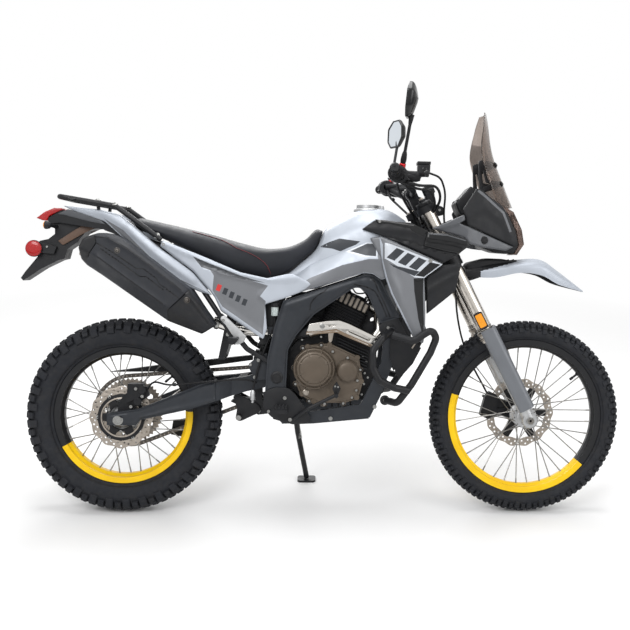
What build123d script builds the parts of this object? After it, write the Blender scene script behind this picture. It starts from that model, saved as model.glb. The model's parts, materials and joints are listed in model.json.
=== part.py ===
"""Dual sport motorcycle, parked on its side stand.

Every piece is drawn with the machine upright: X forward, Y to the rider's left, Z up, the
rear tyre touching the ground at X = 0. The finished pieces are then leaned onto the stand.
"""
import os
from math import asin, atan2, cos, degrees, radians, sin, tan

from build123d import *

# Driving dimensions, millimetres and degrees
WHEELBASE = 1431
REAR_R = 341                # to the tips of the lugs
FRONT_R = 346
RAKE = 27.4                 # fork and steering axis, back from vertical
FORK_OFFSET = 42            # fork legs ahead of the steering axis
FORK_HALF = 95              # fork legs to either side
LEAN = 10                   # parked lean, to the left
STAND_PIVOT = (600, 122, 318)
CONTACT_Y = 22              # outer edge of the middle lugs, which touches the ground
PARKED_SHIFT = (-712, -211) # brings the parked machine's middle over the origin

RIGHT, LEFT = -1, 1
SIDES = (RIGHT, LEFT)
REAR_AXLE = (0, 0, REAR_R)
FRONT_AXLE = (WHEELBASE, 0, FRONT_R)
PIVOT = (539, 494)          # swingarm pivot, (x, z)
CHAIN_Y = 82                # middle plane of the chain
SPROCKET_TEETH = 45
SPROCKET_TIP = 119
CHAIN_PIN = 126             # radius of the chain's pins round the rear sprocket
DRIVE = (600, 480)          # countershaft, (x, z)
DRIVE_PIN = 37
AXLE_BORE = 5               # hollow front axle
CAP_HINGE = (902, 1094)     # pin of the filler cap, (x, z)

pieces = {}


def side_plane(y):
    """Plane across the machine, drawn in (x, z), its normal to the right."""
    return Plane(origin=(0, y, 0), x_dir=(1, 0, 0), z_dir=(0, -1, 0))


def fork_plane(height, forward=0):
    """Plane square to the fork, `height` up the fork from the axle; local x is forward."""
    z_dir = Vector(-sin(radians(RAKE)), 0, cos(radians(RAKE)))
    x_dir = Vector(cos(radians(RAKE)), 0, sin(radians(RAKE)))
    origin = Vector(*FRONT_AXLE) + z_dir * height + x_dir * forward
    return Plane(origin=origin, x_dir=x_dir, z_dir=z_dir)


def fork_point(forward, left, height):
    """A point given along the fork's own directions."""
    return fork_plane(height, forward).origin + Vector(0, left, 0)


def plate(outline, y_start, y_end, mode=Mode.ADD):
    """Side outline in (x, z), extruded from one y to another."""
    with BuildSketch(side_plane(y_start)) as profile:
        Polygon(*outline, align=None)
    extrude(profile.sketch, amount=y_start - y_end, mode=mode)


def disc(centre, radius, y_start, y_end, bore=0, mode=Mode.ADD):
    """Round plate or ring on an axis across the machine; centre in (x, z)."""
    with BuildSketch(side_plane(y_start)) as profile:
        with Locations(centre):
            Circle(radius)
            if bore:
                Circle(bore, mode=Mode.SUBTRACT)
    extrude(profile.sketch, amount=y_start - y_end, mode=mode)


def plan(outline, z_low, z_high, mode=Mode.ADD, sides=SIDES):
    """Top outline in (x, y) for the left side, and its mirror, between two heights."""
    for side in sides:
        with BuildSketch(Plane.XY.offset(z_low)) as profile:
            Polygon(*[(x, side * y) for x, y in outline], align=None)
        extrude(profile.sketch, amount=z_high - z_low, mode=mode)


def wall(side_outline, plan_line, thickness, sides=SIDES):
    """Panel: the side outline cut from a wall whose outer face follows plan_line in (x, y)."""
    z_values = [z for _, z in side_outline]
    inner = [(x, y - thickness) for x, y in reversed(plan_line)]
    with BuildPart(mode=Mode.PRIVATE) as panel:
        plan(list(plan_line) + inner, min(z_values) - 1, max(z_values) + 1, sides=sides)
        with BuildSketch(side_plane(500)) as profile:
            Polygon(*side_outline, align=None)
        extrude(profile.sketch, amount=1000, mode=Mode.INTERSECT)
    add(panel.part)


def tube(points, radius, bend=30, mode=Mode.ADD):
    """Round tube along straight runs joined by arcs."""
    with BuildLine() as route:
        if len(points) == 2:
            Line(*points)
        else:
            FilletPolyline(*points, radius=bend)
    with BuildSketch(Plane(origin=route.line @ 0, z_dir=route.line % 0)) as section:
        Circle(radius)
    sweep(section.sketch, path=route.line, mode=mode)


def cord(name, points, radius):
    """Hose held at both ends: straight runs joined by the widest arcs that fit them."""
    places = [Vector(*point) for point in points]
    runs = [after - before for before, after in zip(places, places[1:])]
    bends = []
    for before, after in zip(runs, runs[1:]):
        half_turn = radians(before.get_angle(after)) / 2
        bends.append(0.45 * min(before.length, after.length) / tan(half_turn))
    print(name, "runs", [round(run.length) for run in runs], "bends", [round(bend) for bend in bends])
    tube(points, radius, bends)


def mirrored_tube(points, radius, bend=30):
    """The same tube on both sides; points have y to the left."""
    for side in SIDES:
        tube([(x, side * y, z) for x, y, z in points], radius, bend)


def crowned(x, half, z_low, z_side, z_top):
    """Cross-section with flat sides and an arched top."""
    with BuildSketch(Plane.YZ.offset(x)) as section:
        with BuildLine():
            Line((-half, z_side), (-half, z_low))
            Line((-half, z_low), (half, z_low))
            Line((half, z_low), (half, z_side))
            ThreePointArc((half, z_side), (0, z_top), (-half, z_side))
        make_face()
    return section.sketch


def crowned_body(table):
    """Body through crowned sections; rows are (x, half width, z low, z side, z top)."""
    loft(sections=[crowned(*row) for row in table], ruled=True)


def cut(*names):
    """Take the room of pieces already made out of the one being made."""
    for name in names:
        add(pieces[name], mode=Mode.SUBTRACT)


def keep(name, builder):
    """Name a finished piece."""
    builder.part.label = name
    pieces[name] = builder.part


def spin(outline, axle):
    """Solid of revolution about an axle; outline in (radius, y)."""
    with BuildSketch(Plane(origin=axle)) as profile:
        Polygon(*outline, align=None)
    revolve(profile.sketch, axis=Axis(axle, (0, 1, 0)))


# Wheels ----------------------------------------------------------------------------------

def make_tyre(name, axle, half_profile, rows):
    """Tyre with lugs. half_profile: (radius, y) from the bead out to the crown, left half.

    rows: (count, first angle, y, width, length, depth, tilt, tip radius).
    """
    other_half = [(radius, -y) for radius, y in reversed(half_profile)]
    with BuildPart() as tyre:
        spin(half_profile + other_half, axle)
        lugs = []
        for count, first, y, width, length, depth, tilt, tip in rows:
            for index in range(count):
                for side in SIDES:
                    turn = Rotation(0, first + 360 * index / count, 0)
                    seat_on = Pos(0, side * y, -tip) * Rotation(side * tilt, 0, 0)
                    block = Pos(0, 0, depth / 2) * Box(length, width, depth, mode=Mode.PRIVATE)
                    lugs.append(Pos(*axle) * turn * seat_on * block)
        add(lugs)
    keep(name, tyre)


def make_rim(name, axle, bed, seat, lip, half):
    """Rim channel: bed is its inner radius, seat carries the tyre, lip is the edge."""
    with BuildPart() as rim:
        outline = [
            (bed, -half * 0.35), (bed, half * 0.35), (bed + 8, half * 0.62), (bed + 10, half),
            (lip, half), (lip, half - 3), (seat, half - 3),
            (seat, 3 - half), (lip, 3 - half), (lip, -half), (bed + 10, -half),
            (bed + 8, -half * 0.62),
        ]
        spin(outline, axle)
    keep(name, rim)


def make_hub(name, axle, outline, flange_r, flange_y, rim_name, rim_r, bore):
    """Hub with its 36 laced spokes, the spokes trimmed to the rim."""
    lead = radians(62)      # how far round the rim a spoke leads from its hole
    with BuildPart() as hub:
        spin(outline, axle)
        for side in SIDES:
            for index in range(18):
                start = radians(20 * index + (10 if side == LEFT else 0) + 5)
                way = 1 if index % 2 else -1
                end = start + way * lead * 0.55
                hub_y = flange_y[side] + way * 3.5
                a = (axle[0] + (flange_r - 4) * cos(start), hub_y, axle[2] + (flange_r - 4) * sin(start))
                b = (axle[0] + (rim_r + 3) * cos(end), side * 5, axle[2] + (rim_r + 3) * sin(end))
                with BuildSketch(Plane(origin=a, z_dir=Vector(*b) - Vector(*a))) as section:
                    RegularPolygon(1.9, 6)
                extrude(section.sketch, amount=(Vector(*b) - Vector(*a)).length)
        disc((axle[0], axle[2]), bore, -150, 150, mode=Mode.SUBTRACT)
        cut(rim_name)
    keep(name, hub)


def make_disc(name, axle, radius, inner, y, waves, bore):
    """Wave-edged brake disc on its spoked carrier."""
    with BuildPart() as brake:
        with BuildSketch(side_plane(y + 2)) as profile:
            with Locations((axle[0], axle[2])):
                Circle(radius)
                with PolarLocations(radius + 9, waves):
                    Circle(16, mode=Mode.SUBTRACT)
                Circle(inner, mode=Mode.SUBTRACT)
                with PolarLocations((inner + bore) / 2, 6):
                    Rectangle(inner - bore + 8, 14)
                Circle(bore + 8)
                Circle(bore, mode=Mode.SUBTRACT)
        extrude(profile.sketch, amount=4)
    keep(name, brake)


# columns: count, first angle, y, width, length round the tyre, depth, tilt, tip radius
REAR_LUGS = [
    (18, 0, 13, 18, 44, 22, 0, REAR_R),
    (18, 10, 43, 22, 40, 18, -38, REAR_R - 15),
]
FRONT_LUGS = [
    (20, 0, 13, 18, 40, 22, 0, FRONT_R),
    (20, 9, 31, 16, 34, 18, -38, FRONT_R - 12),
]
rear_profile = [(229.3, 30.6), (242, 30.6), (256, 54), (282, 60), (306, 51), (REAR_R - 11, 24)]
front_profile = [(267.3, 20.6), (280, 20.6), (288, 37), (302, 42), (318, 36), (FRONT_R - 10, 17)]
make_tyre("rear_tyre", REAR_AXLE, rear_profile, REAR_LUGS)
make_tyre("front_tyre", FRONT_AXLE, front_profile, FRONT_LUGS)
make_rim("rear_rim", REAR_AXLE, 212, 229, 241, 34)
make_rim("front_rim", FRONT_AXLE, 249, 267, 279, 24)

rear_hub_outline = [
    (8, -69), (40, -69), (40, -42), (60, -42), (60, -34), (34, -28), (34, 28), (60, 34),
    (60, 44), (52, 46), (52, 78), (8, 78),
]
front_hub_outline = [
    (7, -36), (42, -36), (42, -25), (24, -20), (24, 26), (42, 33), (42, 43), (36, 46),
    (36, 64), (7, 64),
]
make_hub("rear_hub", REAR_AXLE, rear_hub_outline, 60, {RIGHT: -38, LEFT: 39},
         "rear_rim", 213, 10)
make_hub("front_hub", FRONT_AXLE, front_hub_outline, 42, {RIGHT: -30, LEFT: 38},
         "front_rim", 250, 8.5)
make_disc("rear_disc", REAR_AXLE, 110, 82, -72, 12, 40.2)
make_disc("front_disc", FRONT_AXLE, 129, 98, 67, 14, 36.2)

# Final drive -----------------------------------------------------------------------------

with BuildPart() as rear_sprocket:
    with BuildSketch(side_plane(CHAIN_Y + 3.5)) as profile:
        tooth = 360 / SPROCKET_TEETH
        points = []
        for index in range(SPROCKET_TEETH):
            for offset, radius in ((0, SPROCKET_TIP), (tooth / 2, SPROCKET_TIP - 9)):
                angle = radians(index * tooth + offset)
                points.append((radius * cos(angle), REAR_R + radius * sin(angle)))
        Polygon(*points, align=None)
        with Locations((0, REAR_R)):
            Circle(52.2, mode=Mode.SUBTRACT)
            with PolarLocations(84, 10):
                Circle(11, mode=Mode.SUBTRACT)
    extrude(amount=7)
keep("rear_sprocket", rear_sprocket)


def loop_outline(offset):
    """The chain's loop round both sprockets, its pin line moved out by offset."""
    run = ((DRIVE[0]) ** 2 + (DRIVE[1] - REAR_R) ** 2) ** 0.5
    tilt = degrees(atan2(DRIVE[1] - REAR_R, DRIVE[0]))
    wrap = degrees(asin((CHAIN_PIN - DRIVE_PIN) / run))
    rear_r = CHAIN_PIN + offset
    front_r = DRIVE_PIN + offset
    outline = []
    for radius, centre, first, last, count in (
        (front_r, DRIVE, tilt - 90 + wrap, tilt + 90 - wrap, 12),
        (rear_r, (0, REAR_R), tilt + 90 - wrap, tilt + 270 + wrap, 36),
    ):
        for index in range(count + 1):
            angle = radians(first + (last - first) * index / count)
            outline.append((centre[0] + radius * cos(angle), centre[1] + radius * sin(angle)))
    return outline


with BuildPart() as chain:
    plate(loop_outline(7), CHAIN_Y - 9, CHAIN_Y + 9)
    plate(loop_outline(-7), CHAIN_Y - 10, CHAIN_Y + 10, mode=Mode.SUBTRACT)
    plate(loop_outline(-5), CHAIN_Y - 5.5, CHAIN_Y + 5.5, mode=Mode.SUBTRACT)
    disc(DRIVE, DRIVE_PIN - 7.5, CHAIN_Y - 5, CHAIN_Y + 5)
keep("drive_chain", chain)

with BuildPart() as rear_axle:
    disc((0, REAR_R), 9.5, -132, 132)
    for side in SIDES:
        disc((0, REAR_R), 15, side * 123, side * 135)
keep("rear_axle", rear_axle)

with BuildPart() as swingarm:
    arm_plan = [
        (-38, 97), (150, 97), (310, 72), (356, 58), (372, 45), (575, 45), (575, 71),
        (380, 71), (340, 98), (220, 122), (-38, 122),
    ]
    plan(arm_plan, 300, 540)
    plan([(400, -46), (430, -46), (430, 46), (400, 46)], 430, 486, sides=(LEFT,))
    arm_side = [
        (-38, 322), (60, 322), (76, 341), (253, 381), (431, 435), (545, 462), (572, 480),
        (572, 510), (545, 528), (431, 487), (280, 465), (69, 378), (-38, 362),
    ]
    with BuildSketch(side_plane(200)) as profile:
        Polygon(*arm_side, align=None)
    extrude(amount=400, mode=Mode.INTERSECT)
    cut("rear_axle")
keep("swingarm", swingarm)

with BuildPart() as rear_caliper:
    plate([(-10, 350), (12, 346), (62, 392), (100, 420), (92, 452), (40, 448), (-5, 400)], -77, -92)
    plate([(22, 395), (85, 425), (80, 462), (28, 462)], -66, -104)
    disc((0, REAR_R), 22, -77, -92)
    disc((0, REAR_R), 10, -60, -110, mode=Mode.SUBTRACT)
    disc((0, REAR_R), 114, -68.8, -75.2, mode=Mode.SUBTRACT)
    cut("swingarm")
keep("rear_caliper", rear_caliper)

# Frame -----------------------------------------------------------------------------------

SPAR = [
    (559, 758), (805, 841), (847, 855), (890, 840), (962, 706), (893, 684), (849, 784),
    (824, 806), (801, 806), (665, 712), (603, 637), (577, 589), (571, 440), (500, 440),
    (507, 562), (529, 668),
]
CRADLE = [
    (914, 700), (952, 700), (948, 560), (900, 430), (864, 354), (665, 334), (560, 330),
    (500, 400), (500, 445), (571, 445), (600, 385), (659, 372), (831, 400), (900, 545),
]
with BuildPart() as main_frame:
    for side in SIDES:
        plate(SPAR, side * 105, side * 131)
        plate(CRADLE, side * 94, side * 116)
        disc(PIVOT, 20, side * 131, side * 138)
    disc((STAND_PIVOT[0], STAND_PIVOT[2]), 18, 104, 116)
    disc((STAND_PIVOT[0], STAND_PIVOT[2]), 6, 116, STAND_PIVOT[1] + 8)
    with BuildSketch(fork_plane(668, -FORK_OFFSET)) as head:
        Circle(31)
    extrude(amount=118)
    backbone = [(780, 833), (847, 855), (960, 1020), (1010, 1030), (1060, 915), (1000, 880),
                (890, 800), (849, 784), (824, 806)]
    for side in SIDES:
        with BuildPart(mode=Mode.PRIVATE) as beam:
            beam_plan = [(780, 131), (860, 131), (1025, 40), (1025, 8), (1000, 8), (780, 96)]
            plan(beam_plan, 760, 1040, sides=(side,))
            with BuildSketch(side_plane(200)) as profile:
                Polygon(*backbone, align=None)
            extrude(amount=400, mode=Mode.INTERSECT)
        add(beam.part)
    plan([(915, -90), (948, -90), (948, 90), (915, 90)], 640, 690, sides=(LEFT,))
    plan([(505, -107), (535, -107), (535, 107), (505, 107)], 640, 665, sides=(LEFT,))
    plan([(565, -90), (620, -90), (620, 90), (565, 90)], 335, 352, sides=(LEFT,))
    with BuildSketch(fork_plane(640, -FORK_OFFSET)) as bore:
        Circle(17)
    extrude(amount=180, mode=Mode.SUBTRACT)
keep("main_frame", main_frame)

with BuildPart() as subframe:
    rail = [(545, 92, 735), (470, 92, 795), (300, 88, 862), (120, 80, 938), (-60, 60, 1000)]
    mirrored_tube(rail, 11, 60)
    strut = [(215, 84, 885), (345, 128, 700), (437, 128, 590), (512, 118, 545)]
    mirrored_tube(strut, 9, 40)
    for x, z, half in ((300, 862, 90), (-40, 994, 64)):
        tube([(x, -half, z), (x, half, z)], 9)
    cut("main_frame")
keep("subframe", subframe)

# Engine ----------------------------------------------------------------------------------

BLOCK = [
    (584, 456), (584, 588), (604, 612), (640, 642), (760, 642), (868, 600), (878, 500), (838, 412),
    (640, 400),
]
STARTER = (668, 668)
with BuildPart() as engine_block:
    plate(BLOCK, -80, 80)
    disc(DRIVE, 50, CHAIN_Y - 14, 90, mode=Mode.SUBTRACT)
    for side in SIDES:
        plate([(575, 470), (610, 470), (610, 520), (575, 520)], side * 30, side * 56)
    disc(STARTER, 31, -46, 58)
    disc(STARTER, 24, -54, 66)
keep("engine_block", engine_block)

with BuildPart() as engine_covers:
    lower_cover = [
        (606, 470), (606, 560), (640, 604), (720, 612), (822, 566), (838, 480), (822, 420),
        (775, 405), (665, 405), (622, 432),
    ]
    plate(lower_cover, -80.2, -118)
    for x, z in lower_cover:
        disc((x + (722 - x) * 0.05, z + (508 - z) * 0.05), 9, -80.2, -122)
    spin([(0, -118), (68, -118), (68, -144), (61, -151), (52, -151), (47, -158), (0, -160)], (668, 0, 526))
    spin([(0, -118), (37, -118), (37, -134), (32, -139), (0, -139)], (783, 0, 517))
    spin([(0, 80.2), (76, 80.2), (76, 112), (66, 121), (40, 126), (0, 126)], (720, 0, 520))
    plate([(545, 440), (560, 415), (640, 430), (640, 530), (560, 530)], 94, 104)
    cut("main_frame")
keep("engine_covers", engine_covers)

with BuildPart() as cylinder:
    base = Plane(origin=(745, 0, 642), x_dir=(cos(radians(24)), 0, -sin(radians(24))),
                 z_dir=(sin(radians(24)), 0, cos(radians(24))))
    with BuildSketch(base) as core:
        Rectangle(100, 104)
    extrude(amount=140)
    for index in range(9):
        with BuildSketch(base.offset(16 + 10 * index)) as fin:
            RectangleRounded(142, 138, 14)
        extrude(amount=3)
    with BuildSketch(base.offset(106)) as head:
        Rectangle(128, 120)
    extrude(amount=36)
    with BuildSketch(base.offset(108)) as ribs:
        with GridLocations(18, 1, 7, 1):
            Rectangle(6, 128)
    extrude(amount=28)
    with BuildSketch(base.offset(140)) as cover:
        Rectangle(104, 96)
    extrude(amount=10)
    tube([(745, 0, 756), (640, 0, 746)], 27)
    tube([(706, 0, 752), (676, 0, 749)], 36)
    disc((691, 751), 22, -34, -62)
    plate([(570, 706), (586, 784), (640, 784), (650, 706)], -62, 62)
    plate(BLOCK, -90, 90, mode=Mode.SUBTRACT)
    cut("main_frame", "engine_block")
keep("cylinder", cylinder)

# Exhaust ---------------------------------------------------------------------------------

MUFFLER = [
    (-98, 958), (-51, 976), (-22, 977), (21, 962), (246, 797), (335, 673), (291, 644),
    (173, 684), (-97, 869), (-112, 889), (-112, 930),
]
with BuildPart() as muffler:
    plate(MUFFLER, -100, -214)
    outer = muffler.faces().sort_by(Axis.Y)[0]
    chamfer(outer.edges(), 20)
    inner_face = muffler.faces().sort_by(Axis.Y)[-1]
    chamfer(inner_face.edges(), 14)
keep("muffler", muffler)

with BuildPart() as exhaust_pipe:
    pipe = [
        (860, -36, 742), (892, -60, 722), (890, -112, 652), (868, -128, 624), (750, -132, 680),
        (650, -120, 650), (600, -84, 640), (480, -82, 648), (400, -86, 652), (318, -104, 682),
    ]
    tube(pipe, 18, 24)
    shield = [(640, 646), (656, 681), (755, 694), (890, 632), (874, 600), (753, 655), (734, 657)]
    plate(shield, -151, -155)
    # columns: first and last end (x, z) of each slot
    for start, end in (((783, 660), (858, 627)), ((714, 674), (740, 678))):
        run = Vector(*end) - Vector(*start)
        middle = Vector(*start) + run / 2
        with BuildSketch(side_plane(-150.6)) as slot:
            with Locations(Location((middle.X, middle.Y, 0), (0, 0, degrees(atan2(run.Y, run.X))))):
                SlotOverall(run.length, 8)
        extrude(amount=6, mode=Mode.SUBTRACT)
    cut("main_frame", "cylinder", "engine_block", "muffler", "engine_covers")
keep("exhaust_pipe", exhaust_pipe)

# Rear suspension and guards ---------------------------------------------------------------

with BuildPart() as rear_suspension:
    tube([(470, 0, 500), (520, 0, 700)], 17)
    for index in range(8):
        centre = Vector(474 + 5.6 * index, 0, 516 + 22.4 * index)
        with BuildSketch(Plane(origin=centre, z_dir=(50, 0, 200))) as coil:
            Circle(31)
        extrude(amount=9)
    plate([(372, 392), (470, 345), (510, 350), (512, 380), (482, 400), (482, 505), (452, 505),
           (450, 402), (400, 406)], -24, 24)
    cut("swingarm", "main_frame", "engine_block", "subframe")
keep("rear_suspension", rear_suspension)

with BuildPart() as guards:
    plate([(-77, 481), (104, 508), (300, 532), (440, 548), (440, 530), (162, 488), (100, 484)], 74, 100)
    plate([(142, 250), (150, 300), (230, 318), (240, 300), (190, 240)], 94, 98)
    plate([(330, 545), (352, 545), (400, 700), (440, 760), (425, 765), (360, 700)], -60, 60)
    cut("swingarm", "drive_chain", "subframe", "rear_suspension", "main_frame", "exhaust_pipe")
keep("guards", guards)

# Tank, seat and panels --------------------------------------------------------------------

# columns: x, half width, z low, z side, z top
TANK = [
    (562, 68, 800, 843, 851), (600, 80, 790, 850, 886), (664, 94, 797, 890, 940),
    (698, 104, 809, 930, 1008), (741, 116, 824, 950, 1040), (816, 134, 849, 970, 1080),
    (870, 140, 856, 970, 1087), (915, 128, 862, 942, 1084), (952, 84, 872, 915, 1069),
    (986, 50, 932, 950, 1046),
]
with BuildPart() as fuel_tank:
    crowned_body(TANK)
    with BuildSketch(Plane.XY.offset(1040)) as neck:
        with Locations((850, 0)):
            Circle(40)
    extrude(amount=49)
    for side in SIDES:
        disc(CAP_HINGE, 4.5, side * 8.6, side * 15)
        plate([(897, 1070), (907, 1070), (906, 1094), (898, 1094)], side * 8.6, side * 15)
    disc(CAP_HINGE, 2, -15, 15)
    cut("main_frame", "subframe", "cylinder")
keep("fuel_tank", fuel_tank)

with BuildPart() as fuel_cap:
    with BuildSketch(Plane.XY.offset(1089.5)) as lid:
        with Locations((850, 0)):
            Circle(40)
            with Locations((43, 0)):
                Rectangle(18, 16)
    extrude(amount=9)
    disc(CAP_HINGE, 4.5, -8, 8)
    disc(CAP_HINGE, 2.3, -20, 20, mode=Mode.SUBTRACT)
keep("fuel_cap", fuel_cap)

SEAT = [
    (34, 58, 1000, 1016, 1040), (66, 84, 990, 1010, 1034), (166, 106, 954, 984, 1013),
    (293, 118, 896, 950, 985), (386, 118, 854, 930, 960), (471, 108, 835, 916, 940),
    (521, 96, 830, 918, 938), (578, 80, 858, 926, 948), (630, 70, 906, 950, 974),
    (662, 64, 934, 980, 1006), (690, 58, 986, 1000, 1015),
]
with BuildPart() as seat:
    crowned_body(SEAT)
    cut("fuel_tank", "subframe")
keep("seat", seat)

TAIL_PANEL = [
    (-210, 1073), (-75, 1060), (-6, 1044), (49, 1004), (131, 935), (250, 850), (317, 772),
    (275, 783), (193, 819), (104, 887), (36, 940), (-28, 994), (-59, 1020), (-180, 1059),
]
TAIL_PLAN = [(-215, 52), (-75, 84), (50, 112), (180, 128), (330, 134)]
SIDE_PANEL = [
    (145, 958), (285, 905), (412, 853), (503, 832), (571, 850), (590, 848), (667, 812), (560, 765), (497, 745),
    (505, 659), (492, 624), (347, 719), (322, 772), (252, 853), (137, 938),
]
SIDE_PLAN = [(130, 124), (330, 136), (500, 140), (560, 140), (670, 128)]
with BuildPart() as side_panels:
    wall(TAIL_PANEL, TAIL_PLAN, 10)
    wall(SIDE_PANEL, SIDE_PLAN, 7)
    cut("seat", "fuel_tank", "subframe", "main_frame", "muffler", "exhaust_pipe")
keep("side_panels", side_panels)

with BuildPart() as rear_fender:
    body = [(-215, 1056), (-75, 1046), (0, 1030), (30, 1000), (60, 960), (30, 950), (-48, 990),
            (-219, 1014), (-262, 1010), (-262, 1030)]
    plan([(-262, 40), (-75, 72), (60, 98), (60, -98), (-75, -72), (-262, -40)], 940, 1060, sides=(LEFT,))
    with BuildSketch(side_plane(200)) as profile:
        Polygon(*body, align=None)
    extrude(amount=400, mode=Mode.INTERSECT)
    plate([(-56, 1000), (-100, 996), (-131, 988), (-163, 947), (-198, 922), (-207, 889), (-226, 884),
           (-283, 855), (-348, 811), (-356, 820), (-341, 842), (-305, 887), (-287, 912), (-292, 950),
           (-262, 957), (-240, 975), (-240, 992), (-255, 1012), (-219, 1016)], -36, 36)
    for side in SIDES:
        plate([(-318, 912), (-240, 905), (-230, 930), (-290, 948), (-318, 936)], side * 30, side * 50)
    cut("seat", "subframe", "side_panels", "muffler")
keep("rear_fender", rear_fender)

with BuildPart() as tail_lights:
    plate([(-302, 1028), (-212, 1066), (-212, 1057), (-258, 1034), (-262, 1016), (-281, 1020)], -44, 44)
    for side in SIDES:
        disc((-306, 923), 29, side * 50, side * 62)
    cut("rear_fender", "side_panels")
keep("tail_lights", tail_lights)

with BuildPart() as rear_rack:
    rack = [(140, -118, 960), (-17, -104, 1072), (-212, -92, 1102), (-212, 92, 1102), (-17, 104, 1072),
            (140, 118, 960)]
    tube(rack, 9, 24)
    for side in SIDES:
        tube([(-80, side * 88, 1084), (-80, side * 72, 1050)], 6)
    tube([(-80, -98, 1082), (-80, 98, 1082)], 7)
    cut("side_panels", "seat", "rear_fender")
keep("rear_rack", rear_rack)

# Front bodywork ---------------------------------------------------------------------------

with BuildPart() as radiator:
    plate([(968, 860), (1000, 850), (1000, 560), (968, 560)], -120, 120)
    side_guard = [(930, 655), (1000, 640), (1038, 600), (1010, 545), (962, 490), (930, 560)]
    for side in SIDES:
        plate(side_guard, side * 119, side * 126)
    cut("main_frame", "exhaust_pipe", "fuel_tank")
keep("radiator", radiator)

SHROUD = [
    (840, 975), (887, 985), (1100, 893), (1036, 845), (1042, 733), (1040, 620), (1003, 637), (925, 785), (893, 846),
]
SHROUD_PLAN = [(836, 146), (885, 156), (960, 190), (1040, 205), (1102, 208)]
with BuildPart() as shrouds:
    wall(SHROUD, SHROUD_PLAN, 9)
    cut("fuel_tank", "main_frame", "radiator")
keep("shrouds", shrouds)

BAND = [
    (824, 1007), (867, 1039), (990, 1031), (1045, 1003), (1169, 980), (1190, 963), (1156, 928),
    (1103, 896), (887, 988),
]
LOWER = [(1101, 889), (1165, 898), (1146, 802), (1048, 721), (1044, 846)]
with BuildPart() as black_trim:
    wall(BAND, [(820, 144), (885, 158), (1000, 188), (1190, 188)], 12)
    wall(LOWER, [(1030, 186), (1170, 186)], 10)
    cut("fuel_tank", "shrouds")
keep("black_trim", black_trim)

NOSE = [(1062, 1014), (1176, 1062), (1184, 1024), (1362, 957), (1334, 943), (1249, 952), (1190, 966), (1172, 984)]
with BuildPart() as nose_panels:
    wall(NOSE, [(1050, 172), (1190, 150), (1370, 92)], 8)
    cut("black_trim")
keep("nose_panels", nose_panels)

FAIRING = [(1179, 1068), (1220, 1158), (1270, 1130), (1340, 1085), (1372, 1030), (1384, 975), (1362, 960), (1188, 1028)]
with BuildPart() as fairing:
    wall(FAIRING, [(1170, 142), (1250, 122), (1390, 76)], 8)
    plate([(1222, 1152), (1280, 1122), (1345, 1078), (1378, 1015), (1388, 965), (1370, 932), (1302, 937),
           (1250, 955), (1240, 1040)], -70, 70)
    cut("nose_panels")
keep("fairing", fairing)

with BuildPart() as headlight_lens:
    plate([(1290, 1126), (1365, 1082), (1396, 1019), (1405, 968), (1380, 930), (1370, 931), (1388, 965),
           (1378, 1015), (1345, 1078), (1284, 1121)], -66, 66)
    cut("fairing")
keep("headlight_lens", headlight_lens)


def screen_arc(z, x_middle, x_side, half):
    """One level of the windscreen: an arched strip 4 mm thick."""
    with BuildSketch(Plane.XY.offset(z)) as section:
        with BuildLine():
            ThreePointArc((x_side, -half), (x_middle, 0), (x_side, half))
            Line((x_side, half), (x_side - 4, half - 2))
            ThreePointArc((x_side - 4, half - 2), (x_middle - 4, 0), (x_side - 4, 2 - half))
            Line((x_side - 4, 2 - half), (x_side, -half))
        make_face()
    return section.sketch


with BuildPart() as windscreen:
    levels = [(1100, 1372, 1306, 90), (1178, 1338, 1272, 116), (1285, 1296, 1238, 122),
              (1386, 1276, 1250, 94), (1432, 1268, 1258, 50)]
    loft(sections=[screen_arc(*row) for row in levels], ruled=True)
    cut("fairing", "headlight_lens")
keep("windscreen", windscreen)

with BuildPart() as instrument:
    plate([(1160, 1112), (1212, 1170), (1236, 1158), (1240, 1120), (1192, 1070)], -62, 62)
    cut("fairing", "windscreen", "nose_panels")
keep("instrument", instrument)

# Guards and foot controls -----------------------------------------------------------------

with BuildPart() as crash_bars:
    loop = [
        (935, 128, 660), (899, 205, 640), (864, 225, 599), (866, 225, 539), (888, 225, 498),
        (940, 222, 473), (990, 205, 462),
    ]
    mirrored_tube(loop, 12.5, 26)
    front = [
        (930, 214, 652), (1000, 226, 632), (1064, 212, 672), (1082, 190, 640), (1063, 190, 591),
        (1000, 190, 481), (953, 180, 415), (912, 128, 418),
    ]
    mirrored_tube(front, 12.5, 22)
    cut("main_frame", "shrouds", "black_trim", "radiator")
keep("crash_bars", crash_bars)

with BuildPart() as foot_controls:
    for side in SIDES:
        plate([(491, 442), (549, 455), (640, 372), (660, 340), (597, 332), (530, 350)], side * 132, side * 138)
        plate([(535, 382), (580, 382), (580, 396), (535, 396)], side * 138, side * 225)
        plate([(335, 706), (352, 712), (432, 640), (424, 615), (395, 605)], side * 137.5, side * 147)
        plate([(380, 622), (410, 622), (410, 634), (380, 634)], side * 147, side * 215)
    tube([(600, -144, 352), (650, -165, 392), (745, -170, 440)], 6, 30)
    tube([(745, -150, 440), (745, -195, 440)], 7)
    tube([(640, 110, 440), (640, 160, 440)], 7)
    tube([(640, 150, 440), (735, 160, 415)], 6)
    tube([(735, 150, 415), (735, 200, 415)], 8)
    cut("main_frame", "engine_covers", "subframe", "side_panels")
keep("foot_controls", foot_controls)

# Fork and steering ------------------------------------------------------------------------

def fork_cylinder(radius, height, length, left, bore=0, forward=0, mode=Mode.ADD):
    """Cylinder along the fork at `left`, from `height` up."""
    with BuildSketch(fork_plane(height, forward)) as section:
        with Locations((0, left)):
            Circle(radius)
            if bore:
                Circle(bore, mode=Mode.SUBTRACT)
    extrude(section.sketch, amount=length, mode=mode)


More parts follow.
